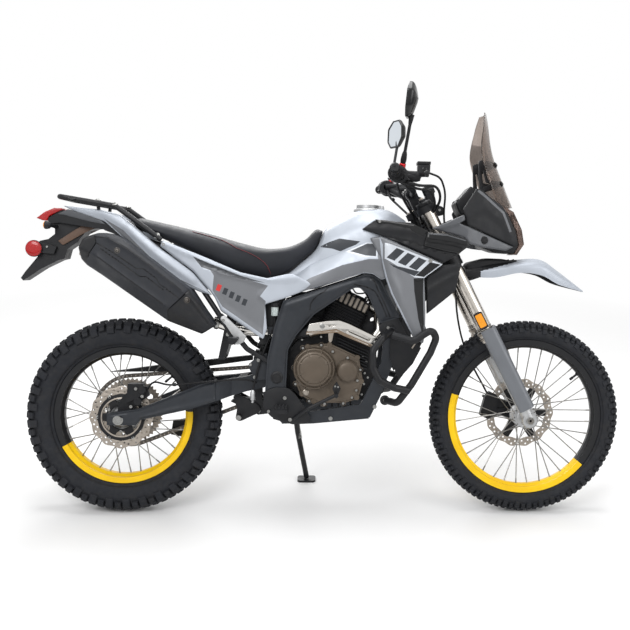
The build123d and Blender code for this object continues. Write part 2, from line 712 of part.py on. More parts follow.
with BuildPart() as fork_tubes:
    for side in SIDES:
        fork_cylinder(27, 330, 520, side * FORK_HALF)
        fork_cylinder(30, 318, 30, side * FORK_HALF)
keep("fork_tubes", fork_tubes)

with BuildPart() as fork_sliders:
    for side in SIDES:
        fork_cylinder(21.5, 20, 297.5, side * FORK_HALF)
        disc((FRONT_AXLE[0], FRONT_AXLE[2]), 26, side * 78, side * 112, bore=8.3)
keep("fork_sliders", fork_sliders)

with BuildPart() as front_axle:
    disc((FRONT_AXLE[0], FRONT_AXLE[2]), 8, -118, 118)
    disc((FRONT_AXLE[0], FRONT_AXLE[2]), 14, -112.2, -122)
    disc((FRONT_AXLE[0], FRONT_AXLE[2]), 14, 112.2, 122)
    disc((FRONT_AXLE[0], FRONT_AXLE[2]), AXLE_BORE, -122, 122, mode=Mode.SUBTRACT)
keep("front_axle", front_axle)

with BuildPart() as fork_guards:
    for side in SIDES:
        with BuildSketch(fork_plane(42)) as section:
            with Locations((6, side * (FORK_HALF + 4))):
                RectangleRounded(62, 56, 20)
        extrude(section.sketch, amount=318)
        with BuildSketch(fork_plane(30)) as inside:
            with Locations((-8, side * (FORK_HALF - 8))):
                RectangleRounded(78, 64, 10)
        extrude(inside.sketch, amount=340, mode=Mode.SUBTRACT)
    cut("fork_tubes", "fork_sliders")
keep("fork_guards", fork_guards)

with BuildPart() as triple_clamps:
    for height, thickness in ((606, 34), (818, 24)):
        with BuildSketch(fork_plane(height)) as clamp:
            with Locations((0, -FORK_HALF), (0, FORK_HALF)):
                Circle(35)
            with Locations((-18, 0)):
                Rectangle(40, 2 * FORK_HALF)
            with Locations((-FORK_OFFSET, 0)):
                Circle(22)
        extrude(clamp.sketch, amount=thickness)
    fork_cylinder(15, 606, 230, 0, forward=-FORK_OFFSET)
    for side in SIDES:
        with BuildSketch(fork_plane(842)) as riser:
            with Locations((-16, side * 40)):
                Rectangle(36, 30)
        extrude(riser.sketch, amount=64)
    cut("fork_tubes")
keep("triple_clamps", triple_clamps)

BAR_MIDDLE = fork_point(-16, 0, 898)
bar_x, bar_z = BAR_MIDDLE.X, BAR_MIDDLE.Z
with BuildPart() as handlebar:
    bar = [
        (914, -400, 1191), (928, -268, 1188), (bar_x - 6, -150, bar_z + 6), (bar_x, -75, bar_z),
        (bar_x, 75, bar_z), (bar_x - 6, 150, bar_z + 6), (928, 268, 1188), (914, 400, 1191),
    ]
    tube(bar, 11, 50)
keep("handlebar", handlebar)

with BuildPart() as clamp_cut:
    add(triple_clamps.part)
    cut("handlebar")
keep("triple_clamps", clamp_cut)

with BuildPart() as grips:
    for side in SIDES:
        tube([(914, side * 402, 1191), (927, side * 280, 1188)], 17)
        tube([(912.5, side * 416, 1191.3), (914, side * 402, 1191)], 14)
    cut("handlebar")
keep("grips", grips)

with BuildPart() as hand_controls:
    for side in SIDES:
        tube([(927, side * 278, 1188), (932, side * 232, 1186)], 24)
        tube([(962, side * 262, 1186), (1010, side * 300, 1176), (985, side * 390, 1178)], 6, 24)
        tube([(935, side * 250, 1187), (965, side * 262, 1186)], 13)
    plate([(1002, 1188), (1044, 1188), (1044, 1232), (1002, 1232)], -205, -250)
    plate([(940, 1176), (1010, 1186), (1010, 1198), (940, 1200)], -222, -240)
    cut("handlebar", "grips")
keep("hand_controls", hand_controls)

with BuildPart() as mirrors:
    # columns: side, stem foot (x, y, z), stem top (x, y, z), head outline in (x, z), head's lift,
    # turn of the head towards the rider in degrees
    for side, foot, top, outline, lift, turned in (
        (RIGHT, (950, -240, 1208), (972, -300, 1366),
         [(953, 1356), (967, 1478), (984, 1478), (993, 1423), (984, 1356)], 1356, 0),
        (LEFT, (950, 240, 1208), (978, 306, 1366),
         [(960, 1342), (966, 1464), (982, 1464), (995, 1427), (980, 1342)], 1342, 28),
    ):
        tube([foot, top], 5.5)
        seen_from_behind = [
            (262, 44), (272, 92), (300, 120), (346, 120), (382, 86), (374, 30), (346, 2), (286, 2),
        ]
        with BuildPart(mode=Mode.PRIVATE) as head:
            plate(outline, side * 258, side * 386)
            with BuildSketch(Plane.YZ.offset(900)) as rim:
                Polygon(*[(side * y, lift + z) for y, z in seen_from_behind], align=None)
            extrude(amount=200, mode=Mode.INTERSECT)
        add(head.part.rotate(Axis(top, (0, 0, 1)), turned))
    cut("hand_controls")
keep("mirrors", mirrors)

FENDER = [
    (1200, 52, 850, 862, 884), (1300, 66, 848, 870, 905), (1391, 72, 866, 884, 914),
    (1473, 64, 858, 880, 916), (1540, 48, 826, 846, 876), (1639, 8, 800, 802, 806),
]
with BuildPart() as front_fender:
    crowned_body(FENDER)
    with BuildPart(mode=Mode.PRIVATE) as hollow:
        crowned_body([(x + (0 if x > 1200 else -20), max(half - 5, 2), low - 8, side_z - 5, top - 5)
                      for x, half, low, side_z, top in FENDER])
    add(hollow.part, mode=Mode.SUBTRACT)
    cut("triple_clamps", "fork_tubes")
keep("front_fender", front_fender)

with BuildPart() as front_caliper:
    plate([(1282, 336), (1300, 405), (1318, 424), (1348, 408), (1345, 330), (1310, 322)], 56, 84)
    plate([(1340, 340), (1420, 330), (1420, 372), (1345, 400)], 72, 84)
    disc((FRONT_AXLE[0], FRONT_AXLE[2]), 133, 63.8, 70.2, mode=Mode.SUBTRACT)
    cut("fork_sliders", "fork_guards")
keep("front_caliper", front_caliper)

with BuildPart() as brake_hoses:
    hose = [
        (1042, -222, 1196), (1086, -190, 1186), (1112, -134, 1140), (1112, -84, 1062), (1132, -36, 980),
        (1168, 10, 896), (1180, 50, 806), (1190, 70, 710), (1212, 80, 614), (1252, 82, 520), (1298, 79, 440),
        (1322, 80, 396),
    ]
    cord("brake_hoses", hose, 3.5)
    cut("hand_controls", "front_caliper")
keep("brake_hoses", brake_hoses)

# Side stand -------------------------------------------------------------------------------

FOOT = (640, 258, (258 - CONTACT_Y) * tan(radians(LEAN)))
with BuildPart() as side_stand:
    disc((STAND_PIVOT[0], STAND_PIVOT[2]), 16, STAND_PIVOT[1] - 5.5, STAND_PIVOT[1] + 5.5)
    tube([(600, 124, 308), (606, 150, 252), (FOOT[0], FOOT[1], FOOT[2] + 12)], 10, 30)
    disc((STAND_PIVOT[0], STAND_PIVOT[2]), 30, 80, STAND_PIVOT[1] - 5.5, mode=Mode.SUBTRACT)
    disc((STAND_PIVOT[0], STAND_PIVOT[2]), 6.4, 80, 160, mode=Mode.SUBTRACT)
    floor_normal = (0, -sin(radians(LEAN)), cos(radians(LEAN)))
    with BuildSketch(Plane(origin=FOOT, x_dir=(1, 0, 0), z_dir=floor_normal)) as foot:
        RectangleRounded(70, 50, 12)
    extrude(amount=8)
keep("side_stand", side_stand)

# Parking ---------------------------------------------------------------------------------

FLOOR = CONTACT_Y * sin(radians(LEAN))
PARK = Pos(PARKED_SHIFT[0], PARKED_SHIFT[1], FLOOR) * Rotation(-LEAN, 0, 0)
os.makedirs("parts", exist_ok=True)
for name, piece in pieces.items():
    parked = piece.moved(PARK)
    parked.label = name
    export_step(parked, f"parts/{name}.step")
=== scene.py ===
"""Looks of the dual sport motorcycle, built round its CAD frame.

Shapes are written in millimetres with the machine upright: x forward, y to the rider's left,
z up, the rear tyre on the ground at x = 0. PARK leans and places them as the frame is.
"""
import random
from math import asin, atan2, ceil, copysign, cos, exp, pi, radians, sin, sqrt, tau

import bmesh
import bpy
import numpy as np
from mathutils import Matrix, Vector
from mathutils.bvhtree import BVHTree
from mathutils.geometry import delaunay_2d_cdt
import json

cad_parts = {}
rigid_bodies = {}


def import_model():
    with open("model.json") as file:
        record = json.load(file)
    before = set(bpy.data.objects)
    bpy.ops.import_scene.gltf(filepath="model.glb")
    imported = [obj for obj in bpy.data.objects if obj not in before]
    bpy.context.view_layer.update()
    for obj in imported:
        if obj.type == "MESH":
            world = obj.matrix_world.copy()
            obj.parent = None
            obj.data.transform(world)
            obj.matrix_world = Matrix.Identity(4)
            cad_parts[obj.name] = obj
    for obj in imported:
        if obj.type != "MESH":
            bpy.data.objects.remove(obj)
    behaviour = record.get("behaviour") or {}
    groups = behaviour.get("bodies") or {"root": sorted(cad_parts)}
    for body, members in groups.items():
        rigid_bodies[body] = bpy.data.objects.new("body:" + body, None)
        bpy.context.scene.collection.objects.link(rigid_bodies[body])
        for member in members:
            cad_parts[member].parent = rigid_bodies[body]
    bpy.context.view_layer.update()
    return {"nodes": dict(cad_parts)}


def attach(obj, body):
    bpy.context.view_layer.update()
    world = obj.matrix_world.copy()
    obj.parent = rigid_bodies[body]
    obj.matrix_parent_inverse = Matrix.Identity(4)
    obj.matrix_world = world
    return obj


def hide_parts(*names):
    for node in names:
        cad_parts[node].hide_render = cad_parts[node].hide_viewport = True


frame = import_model()

LEAN = radians(10)
# the leaning tyre stands on its shoulder, this far to the side of its middle
CONTACT = 0.022
SHIFT = (-0.712, -0.211, CONTACT * sin(LEAN))
PARK = Matrix.Translation(SHIFT) @ Matrix.Rotation(-LEAN, 4, "X") @ Matrix.Scale(0.001, 4)
WHEELBASE = 1431
REAR_AXLE = (0, 0, 341)
FRONT_AXLE = (WHEELBASE, 0, 346)
RAKE = radians(27.4)
FORK_HALF = 95
RIGHT, LEFT = -1, 1
SIDES = (RIGHT, LEFT)
ACROSS, UP = Vector((0, 1, 0)), Vector((0, 0, 1))


def place(x, y, z):
    """A point of the upright machine, in the row frame."""
    return PARK @ Vector((x, y, z))


def fork_point(forward, left, height):
    """A point given along the fork's own directions."""
    return Vector((
        WHEELBASE + forward * cos(RAKE) - height * sin(RAKE), left,
        FRONT_AXLE[2] + forward * sin(RAKE) + height * cos(RAKE),
    ))


# Shapes ----------------------------------------------------------------------------------

# points this close become one, and edges this short go
WELD, SLIVER = 0.02, 0.005


class Shape:
    """Meshes in millimetres that become one piece."""

    def __init__(self, name, body, *materials):
        self.name = name
        self.body = body
        self.materials = materials
        self.points = []
        self.faces = []
        self.slots = []

    def add(self, points, faces, material=0):
        start = len(self.points)
        self.points.extend(tuple(p) for p in points)
        self.faces.extend([start + i for i in face] for face in faces)
        self.slots.extend(material if isinstance(material, list) else [material] * len(faces))

    def build(self, replaces=(), crease=34, subdivide=0):
        """Weld the meshes, park the piece and let it ride on its body; edges above crease stay sharp."""
        mesh = bpy.data.meshes.new(self.name)
        mesh.from_pydata(self.points, [], self.faces)
        for material in self.materials:
            mesh.materials.append(material)
        mesh.polygons.foreach_set("material_index", self.slots)
        mesh.polygons.foreach_set("use_smooth", [True] * len(self.faces))
        tidy = bmesh.new()
        tidy.from_mesh(mesh)
        bmesh.ops.remove_doubles(tidy, verts=tidy.verts, dist=WELD)
        bmesh.ops.dissolve_degenerate(tidy, edges=tidy.edges, dist=SLIVER)
        bmesh.ops.recalc_face_normals(tidy, faces=tidy.faces)
        tidy.to_mesh(mesh)
        tidy.free()
        mesh.transform(PARK)
        mesh.set_sharp_from_angle(angle=radians(crease))
        item = bpy.data.objects.new(self.name, mesh)
        bpy.context.scene.collection.objects.link(item)
        if subdivide:
            smooth = item.modifiers.new("smooth", "SUBSURF")
            smooth.levels = smooth.render_levels = subdivide
        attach(item, self.body)
        if replaces:
            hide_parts(*replaces)
        return item


def grid_faces(rows, columns, close_rows=False, close_columns=False):
    """Quads of a grid of points stored row by row."""
    faces = []
    for i in range(rows if close_rows else rows - 1):
        for j in range(columns if close_columns else columns - 1):
            k, m = (i + 1) % rows, (j + 1) % columns
            faces.append([i * columns + j, i * columns + m, k * columns + m, k * columns + j])
    return faces


def closed_tube(rows, columns):
    """Faces of closed rings of points, with a face over each end."""
    ends = [list(range(columns))[::-1], list(range((rows - 1) * columns, rows * columns))]
    return grid_faces(rows, columns, close_columns=True) + ends


def curve_points(points, steps=8, closed=False):
    """Catmull-Rom curve through points."""
    pts = [Vector(p) for p in points]
    count = len(pts)
    out = []
    for i in range(count if closed else count - 1):
        if closed:
            a, b, c, d = (pts[(i + k) % count] for k in (-1, 0, 1, 2))
        else:
            b, c = pts[i], pts[i + 1]
            a = pts[i - 1] if i else b * 2 - c
            d = pts[i + 2] if i + 2 < count else c * 2 - b
        for s in range(steps):
            t = s / steps
            out.append(0.5 * ((2 * b) + (c - a) * t + (2 * a - 5 * b + 4 * c - d) * t * t
                              + (3 * b - a - 3 * c + d) * t * t * t))
    if not closed:
        out.append(pts[-1])
    return out


def soften(outline, radius, steps=4):
    """Outline with its corners rounded."""
    out = []
    pts = [Vector(p) for p in outline]
    for i, here in enumerate(pts):
        back, ahead = pts[i - 1] - here, pts[(i + 1) % len(pts)] - here
        reach = min(radius, back.length * 0.45, ahead.length * 0.45)
        a, b = here + back.normalized() * reach, here + ahead.normalized() * reach
        for s in range(steps + 1):
            t = s / steps
            out.append(a * (1 - t) ** 2 + here * (2 * t * (1 - t)) + b * t * t)
    return out


def ways(points):
    """Unit direction of a line at each of its points."""
    last = len(points) - 1
    return [(points[min(i + 1, last)] - points[max(i - 1, 0)]).normalized() for i in range(last + 1)]


def square_to(way):
    """A unit vector square to a direction."""
    return way.cross(UP if abs(way.z) < 0.9 else Vector((1, 0, 0))).normalized()


def tube(shape, path, radius, material=0, sides=14, capped=True):
    """Round tube along a path; radius is a number or one per point."""
    pts = [Vector(p) for p in path]
    radii = radius if isinstance(radius, (list, tuple)) else [radius] * len(pts)
    tangents = ways(pts)
    side = square_to(tangents[0])
    verts = []
    for p, tangent, r in zip(pts, tangents, radii):
        side = (side - tangent * side.dot(tangent)).normalized()
        other = tangent.cross(side)
        verts += [p + (side * cos(tau * k / sides) + other * sin(tau * k / sides)) * r for k in range(sides)]
    faces = closed_tube(len(pts), sides) if capped else grid_faces(len(pts), sides, close_columns=True)
    shape.add(verts, faces, material)


def spin(shape, profile, centre, material=0, steps=48, direction=LEFT):
    """Surface of revolution; profile in (radius, distance along the direction), a side or a vector."""
    along = ACROSS * direction if isinstance(direction, int) else Vector(direction).normalized()
    first = square_to(along)
    second = along.cross(first)
    verts = []
    for k in range(steps):
        out = first * cos(tau * k / steps) + second * sin(tau * k / steps)
        verts += [Vector(centre) + out * radius + along * height for radius, height in profile]
    shape.add(verts, grid_faces(steps, len(profile), close_rows=True), material)


def bolt(shape, centre, radius, height, direction=RIGHT, material=0):
    """Hexagon socket bolt head with its recess."""
    profile = [(radius, -1), (radius, height * 0.75), (radius * 0.88, height), (radius * 0.45, height),
               (radius * 0.42, height * 0.45), (0.01, height * 0.4)]
    spin(shape, profile, centre, material, 12, direction)


def bolts(shape, spots, y, height, side=RIGHT, material=0):
    """Bolts across the machine; spots are rows of (x, z, radius)."""
    for x, z, radius in spots:
        bolt(shape, (x, y, z), radius, height, side, material)


def plate(shape, outlines, y_start, y_end, bevel=1.2, material=0, round_edge=2):
    """Flat plate across the machine; the first outline in (x, z) is its edge, the rest are holes."""
    curve = bpy.data.curves.new("plate", "CURVE")
    curve.dimensions = "2D"
    curve.fill_mode = "BOTH"
    thickness = abs(y_end - y_start)
    bevel = min(bevel, thickness * 0.45)
    curve.extrude = thickness / 2 - bevel
    curve.bevel_depth = bevel
    curve.bevel_resolution = round_edge
    curve.offset = -bevel
    for outline in outlines:
        spline = curve.splines.new("POLY")
        spline.points.add(len(outline) - 1)
        for point, (x, z) in zip(spline.points, outline):
            point.co = (x, z, 0, 1)
        spline.use_cyclic_u = True
    item = bpy.data.objects.new("plate", curve)
    mesh = bpy.data.meshes.new_from_object(item)
    middle = (y_start + y_end) / 2
    shape.add([(v.co.x, middle - v.co.z, v.co.y) for v in mesh.vertices],
              [list(p.vertices) for p in mesh.polygons], material)
    bpy.data.objects.remove(item)
    bpy.data.curves.remove(curve)
    bpy.data.meshes.remove(mesh)


def polar(centre, radius, angle):
    """Point in (x, z) at a radius and angle round a centre in (x, z)."""
    return centre[0] + radius * cos(angle), centre[1] + radius * sin(angle)


def round_outline(centre, radius, steps=40):
    """Circle as an outline in (x, z)."""
    return [polar(centre, radius, tau * k / steps) for k in range(steps)]


def slot_outline(start, end, radius, steps):
    """Outline in (x, z) of a slot with round ends."""
    angle = atan2(end[1] - start[1], end[0] - start[0])
    return [polar(centre, radius, first + pi * k / steps)
            for centre, first in ((end, angle - pi / 2), (start, angle + pi / 2)) for k in range(steps + 1)]


def inside(point, outline):
    """Even-odd test of a point in an outline."""
    x, z = point
    hit = False
    for (x1, z1), (x2, z2) in zip(outline, outline[1:] + outline[:1]):
        if (z1 > z) != (z2 > z) and x < (x2 - x1) * (z - z1) / (z2 - z1) + x1:
            hit = not hit
    return hit


def resample(outline, step):
    """Outline with points no further apart than step."""
    out = []
    pts = [Vector(p) for p in outline]
    for a, b in zip(pts, pts[1:] + pts[:1]):
        count = max(1, ceil((b - a).length / step))
        out.extend(tuple(a.lerp(b, k / count)) for k in range(count))
    return out


def to_outline(points, outline):
    """Distance of each point to an outline."""
    p = np.array(points)[:, None, :]
    a = np.array(outline)[None, :, :]
    b = np.roll(np.array(outline), -1, axis=0)[None, :, :]
    along = np.clip(((p - a) * (b - a)).sum(2) / np.maximum(((b - a) ** 2).sum(2), 1e-9), 0, 1)
    return np.sqrt((((a + along[..., None] * (b - a)) - p) ** 2).sum(2)).min(1)


def loop(count, start=0):
    """Edges of a closed loop of points."""
    return [(start + i, start + (i + 1) % count) for i in range(count)]


def fill(points, links, edge):
    """Triangles through all the points inside an outline, whose own points come first, and their middles."""
    verts, _, tris, *_ = delaunay_2d_cdt([Vector(p) for p in points], links, [list(range(len(edge)))], 1, 0.05)
    flat = [(v.x, v.y) for v in verts]
    middles = [tuple(sum(flat[i][k] for i in t) / len(t) for k in (0, 1)) for t in tris]
    kept = [(list(t), middle) for t, middle in zip(tris, middles) if inside(middle, edge)]
    return flat, [t for t, _ in kept], [middle for _, middle in kept]


# shares of the rolled edge's width at which it gets a row of points
ROLL_ROWS = (0.12, 0.35, 0.68, 1.0)


def panel(shape, outline, depth, side, thickness=4, roll=9, sink=5, step=9, decals=(), corner=6, relief=None):
    """Moulded panel: an outline in (x, z) on the surface y = depth(x, z), its edges rolled in.

    decals: (outline, material index), cut into the surface. relief(x, z) adds to the depth.
    """
    edge = resample(soften(outline, corner) if corner else outline, step)
    points, links = list(edge), loop(len(edge))
    for decal, _ in decals:
        fine = resample(decal, step)
        links += loop(len(fine), len(points))
        points += fine
    area = sum(a[0] * b[1] - b[0] * a[1] for a, b in zip(edge, edge[1:] + edge[:1]))
    inward = roll if area > 0 else -roll
    inner = []
    for share in ROLL_ROWS:
        for before, (x, z), after in zip(edge[-1:] + edge[:-1], edge, edge[1:] + edge[:1]):
            way = (Vector(after) - Vector(before)).normalized()
            inner.append((x - way.y * inward * share, z + way.x * inward * share, roll * share))
    (left, right), (low, high) = ((min(c), max(c)) for c in zip(*edge))
    for i in range(max(1, int((high - low) / step)) + 1):
        for j in range(int((right - left) / step) + 1):
            inner.append((left + j * step + i % 2 * step / 2, low + i * step, roll + step * 0.5))
    inner = [p for p in inner if inside(p[:2], edge)]
    if inner:
        away = to_outline([p[:2] for p in inner], edge)
        points += [p[:2] for p, d in zip(inner, away) if d >= p[2] * 0.93]
    flat, tris, middles = fill(points, links, edge)
    outer = []
    for (x, z), d in zip(flat, to_outline(flat, edge)):
        y = depth(x, z) + (relief(x, z) if relief else 0)
        if d < roll:
            y -= sink * (1 - sqrt(max(0.0, 1 - (1 - d / roll) ** 2)))
        outer.append((x, side * y, z))
    back = [(x, side * (depth(x, z) - thickness - sink * 0.6), z) for x, z in flat]
    marks = []
    for middle in middles:
        marks.append(([0] + [index for decal, index in decals if inside(middle, decal)])[-1])
    count = len(flat)
    used = {pair for t in tris for pair in zip(t, t[1:] + t[:1])}
    rim = [[b, a, a + count, b + count] for t in tris for a, b in zip(t, t[1:] + t[:1]) if (b, a) not in used]
    faces = tris + [[i + count for i in reversed(t)] for t in tris] + rim
    shape.add(outer + back, faces, marks + [0] * (len(faces) - len(marks)))


def along_line(table):
    """Function of x (and z, unused) that follows the rows (x, y)."""
    xs, ys = [row[0] for row in table], [row[1] for row in table]

    def follow(x, _z=0):
        return float(np.interp(x, xs, ys))
    return follow


# Materials -------------------------------------------------------------------------------

def colour(red, green, blue):
    """Linear colour from the usual 0 to 255 values."""
    return tuple(((c / 255 + 0.055) / 1.055) ** 2.4 if c > 10 else c / 255 / 12.92 for c in (red, green, blue))


def shade(base, share):
    """The colour made darker or lighter, with its alpha."""
    return tuple(min(1.0, c * share) for c in base) + (1.0,)


class Nodes:
    """A node tree with short ways to add nodes."""

    def __init__(self, tree):
        self.tree = tree

    def node(self, kind, inputs=(), output=None, **settings):
        """A new node, its inputs set or linked; gives one output if it is named, else the node."""
        made = self.tree.nodes.new("ShaderNode" + kind)
        for key, value in settings.items():
            setattr(made, key, value)
        for key, value in dict(inputs).items():
            if isinstance(value, bpy.types.NodeSocket):
                self.tree.links.new(value, made.inputs[key])
            else:
                made.inputs[key].default_value = value
        return made if output is None else made.outputs[output]

    def objects(self):
        """Coordinates of the object."""
        return self.node("TexCoord", (), "Object")

    def where(self, centre):
        """Coordinates of the upright machine, in metres from a point given in millimetres."""
        inputs = {"Vector": self.objects(), "Location": place(*centre), "Rotation": (-LEAN, 0, 0)}
        return self.node("Mapping", inputs, "Vector", vector_type="TEXTURE")

    def noise(self, scale, detail=3, roughness=0.5):
        inputs = {"Vector": self.objects(), "Scale": scale, "Detail": detail, "Roughness": roughness}
        return self.node("TexNoise", inputs, "Fac")

    def spread(self, socket, low, high, start=0.3, end=0.7):
        """The socket's values from start to end, spread from low to high."""
        inputs = {"Value": socket, "From Min": start, "From Max": end, "To Min": low, "To Max": high}
        return self.node("MapRange", inputs, "Result")

    def mix(self, factor, first, second):
        return self.node("Mix", {0: factor, 6: first, 7: second}, 2, data_type="RGBA")

    def maths(self, operation, first, second=0.0):
        return self.node("Math", {0: first, 1: second}, 0, operation=operation)


class Finish(Nodes):
    """A material, built on its main shader."""

    def __init__(self, name):
        self.material = bpy.data.materials.new(name)
        self.material.use_nodes = True
        super().__init__(self.material.node_tree)
        self.shader = self.tree.nodes["Principled BSDF"]

    def join(self, socket, name):
        self.tree.links.new(socket, self.shader.inputs[name])

    def bump(self, height, strength, distance):
        self.join(self.node("Bump", {"Height": height, "Strength": strength, "Distance": distance}, "Normal"),
            "Normal")

    def done(self, **sockets):
        """The material, with constants on its shader."""
        for key, value in sockets.items():
            self.shader.inputs[key.replace("_", " ")].default_value = value
        return self.material


DUST = colour(120, 112, 100) + (1,)


def finish(name, base, rough, metal=0.0, vary=0.1, patch=12, grain=500, depth=0.0002, strength=0.25,
           coat=0.0, dust=0.0, edge=0.0, specular=0.5, through=0.0):
    """Plain finish: patchy colour, uneven gloss, fine grain, dust in patches and worn edges."""
    made = Finish(name)
    base = colour(*base)
    tint = made.mix(made.spread(made.noise(patch, 4, 0.6), 0, 1), shade(base, 1 - vary), shade(base, 1 + vary))
    if edge:
        pointed = made.node("NewGeometry", (), "Pointiness")
        rough_edge = made.maths("ADD", pointed, made.spread(made.noise(60), -0.03, 0.03))
        bare = shade(base, 1.0) if metal else tuple(min(1, c * 2.4 + 0.03) for c in base) + (1,)
        tint = made.mix(made.maths("MULTIPLY", made.spread(rough_edge, 0, 1, 0.53, 0.6), edge), tint, bare)
    if dust:
        tint = made.mix(made.spread(made.noise(34, 6, 0.7), 0, dust, 0.45, 0.8), tint, DUST)
    made.join(tint, "Base Color")
    made.join(made.spread(made.noise(patch * 4, 3), max(0.02, rough - 0.07), min(1, rough + 0.09)), "Roughness")
    made.bump(made.noise(grain, 2, 0.6), strength, depth)
    return made.done(Metallic=metal, Coat_Weight=coat, Coat_Roughness=0.08, Specular_IOR_Level=specular,
                     Transmission_Weight=through)


# columns: name, colour, roughness, metal, patchiness, patch scale, grain scale, grain depth and strength
silver = finish("silver_paint", (172, 178, 187), 0.44, 0.3, 0.05, 9, 2600, 0.00003, 0.12, coat=0.12)
# silver made darker: painted shade on the tank covers, side panels and tail panels; the shrouds are made of it
# too
silver_dark = finish("silver_shadow_paint", (108, 110, 114), 0.46, 0.3, 0.06, 9, 2600, 0.00003, 0.12, coat=0.15)
mid_grey = finish("grey_paint", (78, 80, 84), 0.4, 0.3, 0.07, 10, 2400, 0.00003, 0.12, coat=0.15)
fork_grey = finish("fork_guard_grey", (106, 109, 114), 0.42, 0.25, 0.06, 10, 2400, 0.00004, 0.15, coat=0.1)
graphic_light = finish("graphic_light", (200, 205, 212), 0.34, 0.1, 0.03, 10, 900, 0.00002, 0.08, coat=0.2)
graphic_red = finish("graphic_red", (200, 34, 30), 0.35, 0, 0.05, 10, 900, 0.00002, 0.08, coat=0.3)
red_lens = finish("red_lens", (164, 12, 14), 0.16, 0, 0.1, 25, 90, 0.0004, 0.3, coat=0.2)
orange_reflector = finish("orange_reflector", (240, 152, 16), 0.2, 0, 0.07, 40, 420, 0.0004, 0.5, coat=0.2)
black_plastic = finish("black_plastic", (24, 25, 28), 0.5, 0, 0.14, 14, 1400, 0.00012, 0.35, dust=0.03,
    specular=0.28)
gloss_black = finish("gloss_black", (14, 15, 17), 0.16, 0, 0.1, 10, 300, 0.00002, 0.08, specular=0.4)
graphic_dark = finish("graphic_dark", (50, 53, 58), 0.34, 0.1, 0.06, 10, 900, 0.00002, 0.08, specular=0.35)
frame_paint = finish("frame_paint", (44, 47, 52), 0.36, 0.2, 0.1, 11, 1100, 0.0001, 0.25,
                     edge=0.2, dust=0.03, specular=0.32)
satin_black = finish("satin_black_paint", (24, 25, 28), 0.44, 0.1, 0.14, 12, 900, 0.0001, 0.25,
                     edge=0.25, dust=0.04, specular=0.3)
engine_black = finish("engine_black", (22, 23, 26), 0.5, 0.15, 0.15, 16, 700, 0.0002, 0.4,
                      edge=0.3, dust=0.05, specular=0.28)
muffler_black = finish("muffler_black", (38, 40, 45), 0.5, 0.15, 0.08, 9, 1500, 0.00012, 0.35,
                       dust=0.04, specular=0.3)
bronze = finish("bronze_cover", (88, 78, 67), 0.42, 0.4, 0.1, 18, 900, 0.00012, 0.3, edge=0.3, dust=0.04)
head_bronze = finish("head_bronze", (142, 134, 124), 0.48, 0.45, 0.14, 20, 700, 0.0002, 0.4, edge=0.4,
    dust=0.06)
# steel with a brown colour: a painted reflection on the heat shield's folded lower edge
painted_reflection_steel = finish("steel_painted_brown_reflection", (132, 116, 100), 0.3, 1.0, 0.1, 20, 200, 0.00002, 0.1)
chrome = finish("chrome", (206, 203, 198), 0.14, 1.0, 0.05, 20, 60, 0.00001, 0.05)
polished = finish("polished_tube", (196, 190, 182), 0.2, 1.0, 0.05, 24, 240, 0.00003, 0.12)
steel = finish("brushed_steel", (158, 150, 141), 0.36, 1.0, 0.08, 30, 900, 0.00008, 0.3, dust=0.05)
zinc = finish("zinc_bolt", (150, 150, 148), 0.3, 1.0, 0.08, 60, 700, 0.00005, 0.2)
cast = finish("cast_aluminium", (176, 177, 178), 0.44, 0.85, 0.08, 30, 700, 0.0002, 0.4, dust=0.05)
chain_steel = finish("chain_steel", (96, 92, 88), 0.42, 1.0, 0.25, 60, 600, 0.0001, 0.3, dust=0.1)
spoke_steel = finish("spoke_steel", (132, 130, 127), 0.35, 1.0, 0.06, 40, 300, 0.00003, 0.12)
red_anodised = finish("red_ring", (190, 30, 34), 0.3, 0.6, 0.06, 40, 300, 0.00003, 0.12)
mirror_glass = finish("mirror_glass", (214, 220, 226), 0.04, 1.0, 0.02, 10, 60, 0.00001, 0.02)
tyre_rubber = finish("tyre_rubber", (27, 29, 34), 0.72, 0, 0.2, 22, 900, 0.0003, 0.5, dust=0.06, specular=0.3)
hose_rubber = finish("hose_rubber", (20, 20, 22), 0.55, 0, 0.15, 30, 900, 0.0001, 0.3, specular=0.25)
grip_rubber = finish("grip_rubber", (24, 24, 26), 0.75, 0, 0.15, 30, 1500, 0.0003, 0.6, specular=0.25)
brown_plastic = finish("brown_underside", (88, 66, 52), 0.55, 0, 0.15, 14, 900, 0.0001, 0.3)
milky = finish("fluid_tank", (196, 206, 204), 0.3, 0, 0.06, 30, 300, 0.00005, 0.2, through=0.25)
red_thread = finish("red_thread", (178, 34, 38), 0.7, 0, 0.15, 200, 2000, 0.0002, 0.5)


def glass(name, tint, rough, through):
    """Tinted pane with faint scratches."""
    made = Finish(name)
    tint = colour(*tint)
    made.join(made.mix(made.spread(made.noise(9), 0, 1), shade(tint, 0.92), shade(tint, 1.06)), "Base Color")
    made.join(made.spread(made.noise(180, 6, 0.7), rough, rough + 0.03, 0.5, 0.75), "Roughness")
    made.bump(made.noise(30), 0.02, 0.00001)
    return made.done(Transmission_Weight=through, IOR=1.3)


smoke = glass("smoked_screen", (172, 160, 152), 0.03, 0.93)
lens_clear = glass("lamp_lens", (122, 104, 96), 0.04, 0.8)


